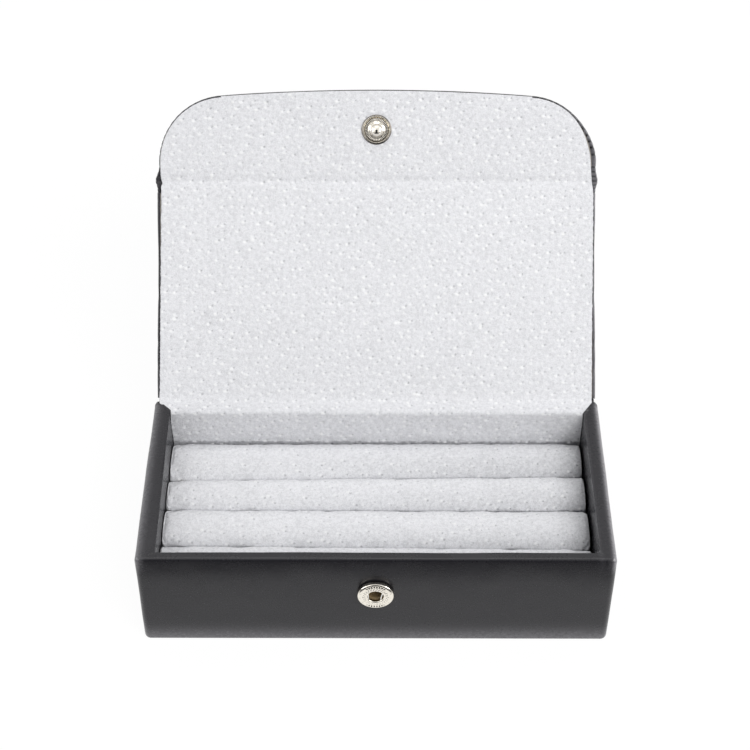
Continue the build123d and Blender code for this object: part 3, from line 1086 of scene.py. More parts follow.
    def flap(self) -> Piece:
        """Cloth inside the flap, down to its bowed edge.

        Returns:
            The piece.
        """
        size = self.sizes
        share = np.linspace(0, size.corner_share, int(38.0 / self.column))
        left, right = self.flap_edges(share)
        x, depth, edge = self.columns(left[:, 0], right[:, 0])
        bow = size.bow_rise(x)
        grown = (share / size.corner_share)[:, None] ** 2
        along = left[:, 1:] + (bow - self.edge_width) * grown
        tip = left[-1, 1] + bow[-1]
        for inset, drop in reversed(self.edge):
            x, edge = np.vstack([x, x[-1:]]), np.vstack([edge, edge[-1:]])
            depth = np.vstack([depth, np.maximum(depth[len(share) - 1], drop)])
            along = np.vstack([along, tip - inset])
        height, dip, dot = self.texture(x, self.course.length[-1] + along - size.flap_from)
        fade = np.clip(np.minimum(edge, tip[None] - along) / self.edge_fade, 0, 1)
        surface = Surface(size.flap.at(x, along, depth - height * fade))
        # Painted shade in the quills' dips and painted highlight on their dots.
        surface.painted = {"dip": dip * fade, "lift": dot * fade}
        piece = make_piece("flap_lining_sheet", surface, Finish.SUEDE)
        fit(piece, "flap", "flap_lining")
        return piece

    def build(self) -> list[Piece]:
        """Build every part of the lining.

        Returns:
            The pieces.
        """
        size, course = self.sizes, self.course
        cap = course.index(size.cap_back, size.cap)
        lid = course.index(*size.lid.point(size.lid_from, 0.0))
        fold = course.index(*size.lid.point(size.lid_to, 0.0))
        last = len(course.points) - 1
        wall = self.strip("rear_wall_lining", 0, cap, *self.ends(0, cap))
        fit(wall, "tray", "rear_lining")
        hinge = self.strip("hinge_lining_strip", cap, lid, *self.ends(cap, lid))
        start, end = course.points[cap], course.points[lid]
        fit_between(hinge, "hinge_lining", start, end)
        panel = self.strip("lid_lining_sheet", lid, fold, *self.ends(lid, fold))
        fit(panel, "lid", "lid_lining")
        left, right = self.ends(fold, last)
        share = np.linspace(0, 1, len(left))
        flap_left, flap_right = self.flap_edges(np.array([0.0]))
        left = left * (1 - share) + flap_left[0, 0] * share
        left = left + 0.45 * bell((share - 0.42) / 0.10)
        right = right * (1 - share) + flap_right[0, 0] * share
        band = self.strip("fold_lining_strip", fold, last, left, right)
        start, end = course.points[fold], course.points[last]
        fit_between(band, "fold_lining", start, end)
        return [wall, hinge, panel, band, self.flap()]


# ---------------------------------------------------------------- lid and flap leather


@dataclass
class LidLeather:
    """Leather drawn over the lid and flap boards and turned in round their edges."""

    sizes: Sizes
    pleat_pitch: float = 2.6
    pleat_depth: float = 0.30
    groove: float = 1.4
    bulge: float = 1.0
    front_depth: float = 0.1
    relief: Relief = field(default_factory=lambda: Relief(23))
    edge_inset: tuple[float, ...] = (
        2.6, 1.05, 0.80, 0.58, 0.34, 0.14, 0.03, 0.0, 0.0, 0.04, 0.18, 0.44, 0.80, 1.25
    )
    edge_depth: tuple[float, ...] = (
        0.30, 0.26, 0.12, 0.05, 0.055, 0.12, 0.22, 0.34, 0.60, 0.72, 0.84, 0.93, 0.985, 1.0
    )

    def _shell(
        self,
        name: str,
        left: Array,
        right: Array,
        normal: Array,
        place: Callable[[Array, Array, Array], Array],
        notch: Array,
    ) -> Piece:
        """Leather round both edges and over the back of a row of stations.

        Args:
            name: The piece's name.
            left: Left outline, X and station along.
            right: Right outline, X and station along.
            normal: Outward directions on the right, mirrored on the left.
            place: Maps X, along and share of depth to points.
            notch: How far the edge is drawn in at each station.

        Returns:
            The piece.
        """
        inset, depth = np.array(self.edge_inset), np.array(self.edge_depth)
        tight = np.exp(-((depth - 0.2) ** 2) / 0.10)
        press = bell(np.maximum(inset - 1.4, 0) / 0.8) * (depth < 0.5) * 0.9
        mirrored = normal * (-1, 1)

        def edge(outline: Array, out: Array) -> list[Array]:
            """Columns round one edge, from the lined face to the back.

            Args:
                outline: X and station along the edge.
                out: Its outward directions.

            Returns:
                The columns.
            """
            rows = [outline - out * (i + notch * t)[:, None] for i, t in zip(inset, tight)]
            return [
                place(at[:, 0], at[:, 1], d + notch * p)
                for at, d, p in zip(rows, depth, press)
            ]

        first, final = left - mirrored * inset[-1], right - normal * inset[-1]
        back = []
        for part in np.linspace(0, 1, 36)[1:-1]:
            at = first * (1 - part) + final * part
            back.append(place(at[:, 0], at[:, 1], np.ones(len(left))))
        columns = edge(left, mirrored) + back + edge(right, normal)[::-1]
        surface = Surface(np.stack(columns, 1))
        x = surface.points[..., 0]
        wave = surface.points[..., 1] + surface.points[..., 2]
        uneven = self.relief.cloud(x, wave, 14.0) * 0.05
        uneven = uneven + self.relief.cloud(x + 70, wave, 3.0) * 0.012
        fade = np.ones(len(columns))
        fade[:4] = fade[-4:] = 0.0
        surface.push(uneven * fade)
        # Paler grey painted along the top of the turned edges: faint on the left, strong past x
        # = 60 on the right, and left out in the pleats' notches.
        top = (depth < 0.45) * 1.0
        pale_grey = np.concatenate([top, np.zeros(len(back)), top[::-1]])
        pale_grey = pale_grey * (0.10 + 0.80 * np.clip((x - 60) / 8, 0, 1))
        unpleated = np.clip(1 - notch / 0.12, 0, 1)[:, None]
        patch = 0.75 + 0.25 * self.relief.cloud(wave, x * 0.2, 5.0)
        surface.painted = {"edge": pale_grey * unpleated * patch}
        return make_piece(name, surface, Finish.LEATHER)

    def _panel(self, slant: Slant, thick: float) -> Callable[[Array, Array, Array], Array]:
        """Mapping of X, along and share of depth to points of a flat panel."""
        front = self.front_depth
        return lambda x, v, depth: slant.at(x, v, front + depth * (thick - front))

    def _lid_half(self, along: Array | float) -> Array:
        """Half the lid's width, which wavers a little."""
        return self.sizes.lid_half + 0.10 * np.sin(along / 9.0) - 0.1

    def _loose(self, along: Array | float) -> Array:
        """How far the leather stands off the right side of the flap."""
        return 0.68 * bell((along - 8.5) / 8.0)

    def lid(self) -> Piece:
        """Leather of the lid.

        Returns:
            The piece.
        """
        size = self.sizes
        along = spaced(1.2, size.lid_to, 0.9)
        half = self._lid_half(along)
        left = np.stack([-half - 0.12 * np.clip(along / size.lid_to, 0, 1), along], 1)
        right = np.stack([half + 0.25 * np.exp(-along / 18.0), along], 1)
        normal = np.repeat([[1.0, 0.0]], len(along), 0)
        notch = np.clip(self.relief.cloud(along, 0.0, 4.0), 0, 1) * 0.10
        place = self._panel(size.lid, size.lid_thick)
        piece = self._shell("lid_leather_cover", left, right, normal, place, notch)
        return fit(piece, "lid", "lid_leather")

    def fold(self) -> Piece:
        """Leather of the fold, pressed in along the crease and bulging at its ends.

        Returns:
            The piece.
        """
        size = self.sizes
        share = np.linspace(0, 1, 31)
        half_lid = self._lid_half(size.lid_to)
        half = half_lid + (size.flap_half - half_lid) * share
        swell = self.bulge * bell((share - 0.52) / 0.24)
        swell = swell * np.minimum(1, share * 6) * np.minimum(1, (1 - share) * 6)
        left = np.stack([-(half + swell + 0.12 * (1 - share)), share], 1)
        loose = self._loose(size.flap_from) * share
        right = np.stack([half + swell * 0.75 + loose, share], 1)
        crease = np.array(size.crease())
        crease_share = np.linspace(0, 1, len(crease))
        step_lid = np.array(size.lid.point(size.lid_to, self.front_depth)) - crease[0]
        step_flap = np.array(size.flap.point(size.flap_from, self.front_depth)) - crease[-1]
        back_lid = np.array(size.lid.point(size.lid_to, size.lid_thick))
        back_flap = np.array(size.flap.point(size.flap_from, size.flap_thick))
        groove = np.array(size.lid.point(size.lid_reach, size.lid_thick - self.groove))
        pull = groove - (back_lid + back_flap) / 2
        soft = 0.012

        def place(x: Array, v: Array, depth: Array) -> Array:
            """Points between the lined face and the grooved back.

            Args:
                x: Across.
                v: Share of the way from lid to flap.
                depth: Share of the way to the back.

            Returns:
                The points.
            """
            face = np.stack([np.interp(v, crease_share, crease[:, i]) for i in (0, 1)], -1)
            t, depth = v[:, None], np.broadcast_to(depth, v.shape)[:, None]
            face = face + step_lid * (1 - t) + step_flap * t
            reach = math.sqrt(0.25 + soft) - math.sqrt(soft)
            away = np.sqrt((t - 0.5) ** 2 + soft) - math.sqrt(soft)
            tent = 1 - np.clip(away / reach, 0, 1)
            back = back_lid * (1 - t) + back_flap * t + pull * tent
            return np.column_stack([x, face + (back - face) * depth])

        normal = np.repeat([[1.0, 0.0]], len(share), 0)
        notch = 0.10 * np.clip(np.sin(share * 40), 0, 1)
        piece = self._shell("fold_leather_band", left, right, normal, place, notch)
        start = size.lid.point(size.lid_to, 0.0)
        end = size.flap.point(size.flap_from, 0.0)
        return fit_between(piece, "fold_leather", start, end)

    def flap(self) -> Piece:
        """Leather of the flap, pleated where it is drawn in round the corners.

        Returns:
            The piece.
        """
        size = self.sizes
        corner = size.corner_share
        bow = corner + (1 - corner) * np.linspace(0, 1, 17)[1:]
        share = np.concatenate([np.linspace(0, corner, 113), bow])
        right = size.outline(share, 0.0, 0.0)
        left = right * (-1, 1)
        right[:, 0] += self._loose(right[:, 1])
        heading = np.gradient(right, axis=0)
        heading[-1] = (-1.0, 0.0)
        heading /= np.linalg.norm(heading, axis=1, keepdims=True)
        normal = np.stack([heading[:, 1], -heading[:, 0]], 1)
        step = np.linalg.norm(np.diff(right, axis=0), axis=1)
        run = np.concatenate([[0.0], np.cumsum(step)])
        phase = (run + self.relief.cloud(run, 5.0, 6.0) * 0.6) / self.pleat_pitch % 1.0
        pleat = bell((phase - 0.5) / 0.13) * self.pleat_depth
        notch = pleat * np.clip((run - 2) / 5, 0, 1) * np.clip((42 - run) / 8, 0, 1)
        place = self._panel(size.flap, size.flap_thick)
        piece = self._shell("flap_leather_cover", left, right, normal, place, notch)
        return fit(piece, "flap", "flap_leather")

    def build(self) -> list[Piece]:
        """Build the lid's, the fold's and the flap's leather."""
        return [self.lid(), self.fold(), self.flap()]


# ---------------------------------------------------------------- tray leather


class Wall(Enum):
    """The tray's walls, with the outward direction of each in plan."""

    LEFT = (-1.0, 0.0)
    FRONT = (0.0, -1.0)
    RIGHT = (1.0, 0.0)
    REAR = (0.0, 1.0)


@dataclass
class TrayLeather:
    """Leather round the tray: over the rim, down the inside and under the base."""

    sizes: Sizes
    left_lip: float = 6.5
    right_lip: float = 5.1
    right_inner: float = 5.0
    ease: float = 0.22
    crown: float = 0.28
    turn_under: float = 9.0
    corner_steps: int = 10
    row_step: float = 1.4
    # Strengths of the pale grey painted on the tray's leather: a painted reflection of the floor
    # at the foot, painted highlights on the rims and the right wall's inner face, and paler
    # front corners.
    foot_reflection: float = 0.80
    right_rim_highlight: float = 1.7
    left_rim_sheen: float = 0.75
    inside_face_light: float = 0.12
    upright_pale: float = 0.10
    wave: float = 0.10
    dimple: float = 0.022
    relief: Relief = field(default_factory=lambda: Relief(37))

    def _foot(self, sink: float) -> list[Point]:
        """Section of a wall's leather from under the base up to the wall.

        Args:
            sink: How far it lies outside the tray.

        Returns:
            Distance in from the outside and height of each point.
        """
        under, radius = self.turn_under, self.sizes.foot_radius
        points = [(o, -sink) for o in np.linspace(under - 1.5, radius, 6)]
        return points + arc((radius, radius), radius + sink, 270, 180, 7)[1:]

    def profile(self, wall: Wall) -> Array:
        """Section of one wall's leather, from under the base over the rim.

        Args:
            wall: Which wall.

        Returns:
            Distance in from the outside and height of each point.
        """
        size, top, under = self.sizes, self.sizes.height, self.turn_under
        inner, lip, rim, curl = {
            Wall.LEFT: (size.side_rim, self.left_lip, size.rim_radius, 0.8),
            Wall.RIGHT: (self.right_inner, self.right_lip, size.rim_radius, 0.8),
            Wall.FRONT: (size.front_rim, size.front_rim - 0.3, size.rim_radius / 2, 0.3),
            Wall.REAR: (size.rear_rim, size.rear_rim, 0.5, 0.8),
        }[wall]
        points = [(under, 0.6), (under - 0.1, 0.15), (under - 0.5, 0.0)] + self._foot(0.0)
        shift = 0.0
        for z in np.linspace(size.foot_radius, top - rim, 26)[1:]:
            if wall is Wall.FRONT:
                shift = self.ease * max(0.0, (z - 27.0) / 11.0) ** 2
            points.append((shift, z))
        points += arc((rim + shift, top - rim), rim, 180, 90, 8)[1:]
        points += [(o, top) for o in np.linspace(rim + shift, lip - curl, 6)[1:]]
        points += arc((lip - curl, top - curl), curl, 90, 0, 8)[1:]
        for z in np.linspace(top - curl - 0.4, size.tray_floor - 0.4, 14):
            points.append((lip + (inner - lip) * min(1.0, (top - z) / 5.0), z))
        section = np.array(points)
        if wall in (Wall.LEFT, Wall.RIGHT):
            over = (section[:, 1] > top - 1.9) & (section[:, 0] < lip - 0.6)
            section[over, 1] -= self.crown * (section[over, 0] / (lip * 0.5) - 1) ** 2
        return section

    def _corner(self, first: Wall, second: Wall) -> list[Array]:
        """Rows of points round a corner between two walls.

        Args:
            first: Wall that the rows come from.
            second: Wall that they go to.

        Returns:
            The rows.
        """
        size = self.sizes
        a, b = self.profile(first), self.profile(second)
        plan_radius = size.corner
        if Wall.REAR in (first, second):
            plan_radius = 1.1
            side = b if first is Wall.REAR else a
            inside = (side[:, 1] > 25.0) & (side[:, 0] > 4.0)
            side[inside, 0] = np.minimum(side[inside, 0], size.side_rim)
            if side is b:
                side[inside, 0] += size.side_rim - side[inside, 0].max()
        out_a, out_b = np.array(first.value), np.array(second.value)
        out = out_a + out_b
        across = a[:, :1] * np.abs(out_a) + b[:, :1] * np.abs(out_b)
        radius = np.maximum(plan_radius - np.maximum(a[:, :1], b[:, :1]), 0.25)
        centre = out * (np.array([size.half_width, size.half_depth]) - across) - out * radius
        rows = []
        for angle in np.radians(np.linspace(0, 90, self.corner_steps + 1)):
            plan = centre + radius * (out_a * math.cos(angle) + out_b * math.sin(angle))
            share = angle / math.radians(90)
            rows.append(np.column_stack([plan, a[:, 1] * (1 - share) + b[:, 1] * share]))
        return rows

    def _behind(self, row: Array, side: float) -> list[Array]:
        """The end of the strip, which lies on the rear wall under the cloth.

        Args:
            row: The corner's last row.
            side: 1 on the right, -1 on the left.

        Returns:
            Rows that go on from the corner, outermost first.
        """
        y, z = row[:, 1], row[:, 2]
        inside = (y < self.sizes.half_depth - 1.0) & (z > 1.0)
        sunk = (z > self.sizes.height - 1.7) & (np.abs(y) < 34.2)
        move = np.stack([y * 0, np.where(inside, 0.7, -0.05), np.where(sunk, -1.3, 0.0)], 1)
        return [row + move - (side * shift, 0, 0) for shift in (1.6, 0.8, 0.1)]

    def walls(self) -> Piece:
        """One strip of leather from behind one rear corner round to the other.

        Returns:
            The piece.
        """
        size = self.sizes
        round_box = (Wall.REAR, Wall.LEFT, Wall.FRONT, Wall.RIGHT, Wall.REAR)
        corners = [self._corner(a, b) for a, b in zip(round_box, round_box[1:])]
        rows = self._behind(corners[0][0], -1.0) + corners[0]
        for corner in corners[1:]:
            start, end = rows[-1], corner[0]
            far = np.max(np.linalg.norm(end - start, axis=1))
            shares = np.linspace(0, 1, max(1, int(far / self.row_step)) + 1)[1:-1]
            rows += [start + (end - start) * share for share in shares] + corner
        rows += self._behind(rows[-1], 1.0)[::-1]
        surface = Surface(np.stack(rows))
        x, y, z = surface.axes()
        waves = self.relief.cloud(x + y * 1.3, z + y * 0.3, 16.0) * self.wave
        waves = waves + self.relief.cloud(x - y, z, 5.0) * self.dimple
        surface.push(-waves * (z > 1.5))
        profile = self.profile(Wall.FRONT)
        # Painted reflection of the white floor: the leather is lighter towards its foot.
        foot = bell(profile[:, 1] / 4.8) * (profile[:, 0] < 3.0) * self.foot_reflection
        from_right, from_left = size.half_width - x, size.half_width + x
        # Painted highlights: a pale strip along the right wall's outer rounding and a fainter
        # sheen along the left wall's.
        rim = bell(from_right / 1.15) * self.right_rim_highlight
        rim = rim + bell(from_left / 1.9) * self.left_rim_sheen
        # Painted light on the right wall's inner face.
        rim = rim + bell((from_right - self.right_inner) / 0.5) * self.inside_face_light
        rim = rim * np.clip((z - 33.0) / 5.0, 0, 1) * (y < 33.5)
        # Paler down the front corners.
        upright = bell((size.half_width - np.abs(x)) / 0.9) * (y < -33.4)
        upright = upright * self.upright_pale
        surface.painted = {"edge": foot[None] + rim + upright}
        hole = (Vector((0, -size.half_depth, size.stud_height)) * MM, 3.3 * MM)
        piece = make_piece("tray_leather", surface, Finish.LEATHER, hole=hole)
        return fit(piece, "tray", "wall_leather")

    def rear(self) -> Piece:
        """Leather on the outside of the rear wall, with its hinge edge above.

        Returns:
            The piece.
        """
        size, sink = self.sizes, 0.02
        profile = [(9.0, 0.5), (8.9, 0.1), (8.4, -sink)] + self._foot(sink)
        profile += [(-sink, z) for z in np.linspace(size.foot_radius, 38.3, 24)[1:]]
        inward, z = np.array(profile).T
        half = size.half_width - 3.0
        x = spaced(-half, half, 2.0)[::-1, None]
        lift = 0.16 * bell((half - np.abs(x)) / 0.5)
        y = size.half_depth - inward - lift
        surface = Surface(np.stack(np.broadcast_arrays(x, y, z[None]), -1))
        surface.push(-self.relief.cloud(x + z * 0, z + x * 0, 15.0) * 0.06 * (z > 1.5))
        piece = make_piece("rear_wall_leather", surface, Finish.LEATHER)
        return fit(piece, "tray", "rear_leather")

    def base(self) -> Piece:
        """The panel under the base, with rounded edges.

        Returns:
            The piece.
        """
        half_x = self.sizes.half_width - self.turn_under + 0.25
        half_y = self.sizes.half_depth - self.turn_under + 0.25
        rings = []
        for inset, z in ((0.0, 0.85), (0.0, 0.3), (0.12, 0.08), (0.4, 0.0), (3.0, 0.0)):
            rings.append(self._ring(half_x - inset, half_y - inset, 3.0, z))
        for share in (0.75, 0.5, 0.25, 0.02):
            rings.append(self._ring(half_x * share, half_y * share, 3.0 * share, 0.0))
        surface = Surface(np.stack(rings), closed=True)
        piece = make_piece("base_leather_panel", surface, Finish.LEATHER)
        return fit(piece, "tray", "bottom_leather")

    def _ring(self, half_x: float, half_y: float, radius: float, z: float) -> Array:
        """A rounded rectangle of points at a height.

        Args:
            half_x: Half its width.
            half_y: Half its depth.
            radius: Its corners' radius.
            z: Its height.

        Returns:
            The points.
        """
        radius = min(radius, half_x * 0.9, half_y * 0.9)
        points: list[Point] = []
        for turn, (sx, sy) in enumerate(((1, 1), (-1, 1), (-1, -1), (1, -1))):
            centre = (sx * (half_x - radius), sy * (half_y - radius))
            points += arc(centre, radius, turn * 90, turn * 90 + 90, 6)
        return np.array([(x, y, z) for x, y in points])

    def build(self) -> list[Piece]:
        """Build all of the tray's leather."""
        return [self.walls(), self.rear(), self.base()]


@dataclass
class HingeLeather:
    """The leather that bends behind the lid, and its gathered ends."""

    sizes: Sizes
    left_end: float = 72.9
    right_end: float = 73.9
    relief: Relief = field(default_factory=lambda: Relief(41))

    def build(self) -> list[Piece]:
        """Build the strip as a closed band.

        Returns:
            The piece.
        """
        size = self.sizes
        edge, wall = 1.2, size.half_depth
        back = size.lid.point(edge, size.lid_thick)
        low = size.lid.point(edge, size.suede + 0.1)
        section = [(wall - 0.9, 38.0), (wall - 0.9, 39.0), (wall - 0.5, 39.25)]
        section += [(low[0] - 0.5, low[1] - 0.6), low]
        section += [size.lid.point(edge, depth) for depth in (1.2, 1.8, 2.4, 2.9)]
        section += bend(back, (35.15, 38.35), (wall + 0.02, 37.6))
        section.append((wall - 0.5, 37.5))
        ring = np.array(section)
        middle = ring.mean(0)
        tip = np.array([0.0, 0.1, 0.5])
        between = spaced(1.2 - self.left_end, self.right_end - 1.2, 2.2)
        x = np.concatenate([tip - self.left_end, between, self.right_end - tip[::-1]])
        shrink = np.ones(len(x))
        shrink[[0, -1]], shrink[[1, -2]] = 0.55, 0.85
        points = middle + (ring - middle)[None] * shrink[:, None, None]
        across = np.repeat(x[:, None, None], len(ring), 1)
        surface = Surface(np.concatenate([across, points], 2), closed=True)
        px, py, pz = surface.axes()
        surface.push(self.relief.cloud(px, py + pz, 3.5) * 0.05)
        piece = make_piece("hinge_leather_strip", surface, Finish.LEATHER, capped=True)
        start, end = (34.6, 38.4), size.lid.point(edge, 1.8)
        fit_between(piece, "hinge_leather", start, end)
        return [piece]


# ---------------------------------------------------------------- rolls


@dataclass
class Rolls:
    """Four padded rolls of suede over foam, side by side in the tray."""

    sizes: Sizes
    count: int = 4
    gap: float = 0.25
    crown: float = 28.0
    end_gap_left: float = 0.25
    end_gap_right: float = 0.15
    pinch: float = 0.7
    end_drop: float = 0.75
    long_drop: float = 0.25
    settle: float = 0.35
    pitch: float = 4.1
    dot_height: float = 0.10
    dip_depth: float = 0.16
    sag: float = 0.06
    seam_slants: Point = (-2.5, -1.7)
    cloth: dict[str, float] = field(
        default_factory=lambda: {
            "quality": 6,
            "mass": 0.25,
            "tension_stiffness": 14,
            "compression_stiffness": 10,
            "shear_stiffness": 8,
            "bending_stiffness": 0.6,
            "shrink_min": -0.035,
            "use_pressure": True,
            "uniform_pressure_force": 3.5,
        }
    )

    def section(self, half: float, crown: float) -> Array:
        """Outline of a roll: flat foot, swelling sides and a broad soft crown.

        Args:
            half: Half its width.
            crown: Height of its top.

        Returns:
            Y and Z of a closed ring, starting in the middle of its foot.
        """
        floor = self.sizes.tray_floor + 0.05
        foot, belly, shoulder = half - 0.9, floor + 8.0, crown - half * 0.62
        right = [(0.0, floor), (foot * 0.5, floor), (foot, floor), (half - 0.35, floor + 1.6)]
        right += [(half - 0.05, belly), (half, (belly + shoulder) / 2), (half, shoulder)]
        for a in np.radians(np.linspace(8, 90, 10)):
            z = shoulder + (crown - shoulder) * math.sin(a) ** 0.85
            right.append((half * math.cos(a) ** 0.72, z))
        return np.array(right + [(-y, z) for y, z in reversed(right[1:-1])])

    def _swell(self, rows: Array) -> Array:
        """Blow the cover up a little against its neighbours by simulation.

        Args:
            rows: The plain roll's grid in millimetres.

        Returns:
            The grid after the cloth has settled.
        """
        scale, steps, share, reach = 10.0, 20, 0.5, 0.20
        body = add_object(Surface(rows, closed=True).mesh("swelling", scale, True))
        held = body.vertex_groups.new(name="held")
        low = rows.reshape(-1, 3)[:, 2] < self.sizes.tray_floor + 2.5
        held.add(np.flatnonzero(low).tolist(), 1.0, "REPLACE")
        cloth = body.modifiers.new("cloth", "CLOTH")
        for key, value in self.cloth.items():
            setattr(cloth.settings, key, value)
        cloth.settings.vertex_group_mass = "held"
        cloth.settings.effector_weights.gravity = 0.0
        cloth.collision_settings.use_collision = False
        cloth.collision_settings.use_self_collision = False
        scene = bpy.context.scene
        for step in range(1, steps + 1):
            scene.frame_set(step)
        graph = bpy.context.evaluated_depsgraph_get()
        settled = np.zeros(rows.size)
        body.evaluated_get(graph).data.vertices.foreach_get("co", settled)
        scene.frame_set(1)
        bpy.data.objects.remove(body)
        moved = settled.reshape(rows.shape) / (MM * scale) - rows
        return rows + np.clip(moved * share, -reach, reach)

    def seam(self, number: int, x: Array | float) -> Array | float:
        """Y of the seam behind a roll: two of the seams run a little aslant.

        Args:
            number: Which roll the seam lies behind, counted from 0 at the rear.
            x: Where along the roll.

        Returns:
            Y of the seam.
        """
        size = self.sizes
        rear, front = size.half_depth - size.rear_rim, size.front_rim - size.half_depth
        share = (x + size.half_width) / (2 * size.half_width)
        second, fourth = self.seam_slants
        slant = {1: second * (1 - share), 3: fourth * share}.get(number, share * 0.0)
        return rear - (rear - front) * number / self.count + slant

    def _plain(self, x: Array, number: int) -> Array:
        """Grid of a roll as cut, with drawn-in ends, kept between its seams.

        Args:
            x: Places of its rows.
            number: Which roll, counted from 1 at the rear.

        Returns:
            The grid in millimetres, blown up.
        """
        rows = []
        for place in x:
            back, front = self.seam(number - 1, place), self.seam(number, place)
            near = min(place - x[0], x[-1] - place)
            draw = self.pinch * math.exp(-near / 0.35)
            drop = self.end_drop * math.exp(-near / 0.45)
            drop += self.long_drop * math.exp(-near / 6.0)
            half = (back - front - self.gap) / 2 - draw
            ring = self.section(half, self.crown - self.settle - drop) + ((back + front) / 2, 0)
            rows.append(np.column_stack([np.full(len(ring), place), ring]))
        grid = np.stack(rows)
        grid = self._swell(grid)
        ease = self.gap * 0.1
        low, high = self.seam(number, x) + ease, self.seam(number - 1, x) - ease
        floor = self.sizes.tray_floor + 0.05
        grid[..., 0] = x[:, None]
        grid[..., 1] = np.clip(grid[..., 1], low[:, None], high[:, None])
        grid[..., 2] = np.clip(grid[..., 2], floor, self.crown + 0.5)
        return grid

    def _refine(self, grid: Array, along: int, around: int) -> Array:
        """A finer grid through the same points.

        Args:
            grid: The grid, closed in its second direction.
            along: Runs for each run in the first direction.
            around: Runs for each run in the second direction.

        Returns:
            The finer grid.
        """
        rows, count = np.arange(grid.shape[0]), grid.shape[1]
        fine = np.linspace(0, rows[-1], rows[-1] * along + 1)
        out = smooth_between(rows, grid.reshape(len(rows), -1), fine).reshape(-1, count, 3)
        ring = np.concatenate([out[:, -2:], out, out[:, :3]], 1).swapaxes(0, 1)
        flat = ring.reshape(count + 5, -1)
        finer = smooth_between(
            np.arange(-2, count + 3), flat, np.arange(count * around) / around
        )
        return finer.reshape(count * around, -1, 3).swapaxes(0, 1)

    def roll(self, number: int) -> Piece:
        """One roll, counted from 1 at the rear.

        Args:
            number: Which roll.

        Returns:
            The piece.
        """
        size = self.sizes
        wobble = Relief(60 + number)
        left = -(size.half_width - size.side_rim - self.end_gap_left)
        right = size.half_width - size.side_rim - self.end_gap_right
        tip = np.array([0.0, 0.15, 0.5, 1.1, 2.0, 3.4])
        between = spaced(left + 5.2, right - 5.2, 2.3)
        x = np.concatenate([left + tip, between, right - tip[::-1]])
        grid = self._refine(self._plain(x, number), 5, 4)
        surface = Surface(grid, closed=True)
        px, py, pz = surface.axes()
        step = np.linalg.norm(np.diff(grid, axis=1, prepend=grid[:, -1:]), axis=2)
        around = np.cumsum(step, axis=1)
        up = np.clip((pz - 14) / 6, 0, 1)
        sag = wobble.cloud(px, 2.0, 34.0) * self.sag
        soft = wobble.cloud(px, around, 8.0) * 0.03 + wobble.cloud(px, around, 2.6) * 0.02
        dip, dot = wobble.quills(px, around, self.pitch)
        keep = np.clip(np.minimum(px - left, right - px) / 1.5, 0, 1) * up
        surface.push(-(soft + dot * self.dot_height - dip * self.dip_depth) * keep)
        surface.points[..., 2] += sag * up
        # Painted shade in the quills' dips, painted highlight on their dots, and painted shade
        # from _gloom.
        surface.painted = {
            "dip": dip * keep,
            "lift": dot * keep * 0.75,
            "gloom": self._gloom(px, py, pz, right, number),
        }
        piece = make_piece(f"roll_{number}", surface, Finish.ROLL, capped=True)
        fit(piece, "tray", f"roll_cover_{number}")
        return piece

    def _gloom(self, x: Array, y: Array, z: Array, right: float, number: int) -> Array:
        """Painted shade on the cloth: low down at the seams, towards its front, towards the
        right and by the right wall.

        Args:
            x: Across.
            y: From front to back.
            z: Height.
            right: X of the roll's right end.
            number: Which roll.

        Returns:
            Values from 0.
        """
        behind, ahead = self.seam(number - 1, x), self.seam(number, x)
        forward = np.clip((behind - y) / (behind - ahead), 0, 1)
        rightward = np.clip((x + 30) / 70, 0, 1)
        # Painted shade: low at the seams, growing towards the front, more to the right, and the
        # right wall's shadow on the roll's right end.
        low = np.clip((self.crown - 3.3 - z) / 1.2, 0, 1) * (0.9 if number > 1 else 0.55)
        fall = np.clip((forward - 0.25) / 0.65, 0, 1.2) ** 1.4 * (0.17 + 0.12 * rightward)
        far = np.maximum(right - x, 0)
        end = 0.13 * np.exp(-far / 9.0) + 0.22 * np.exp(-far / 2.2)
        return low + fall + rightward * (0.09 if number == 1 else 0.03) + end

    def build(self) -> list[Piece]:
        """Build the rolls from the rear wall to the front one."""
        return [self.roll(number + 1) for number in range(self.count)]


# ---------------------------------------------------------------- press stud


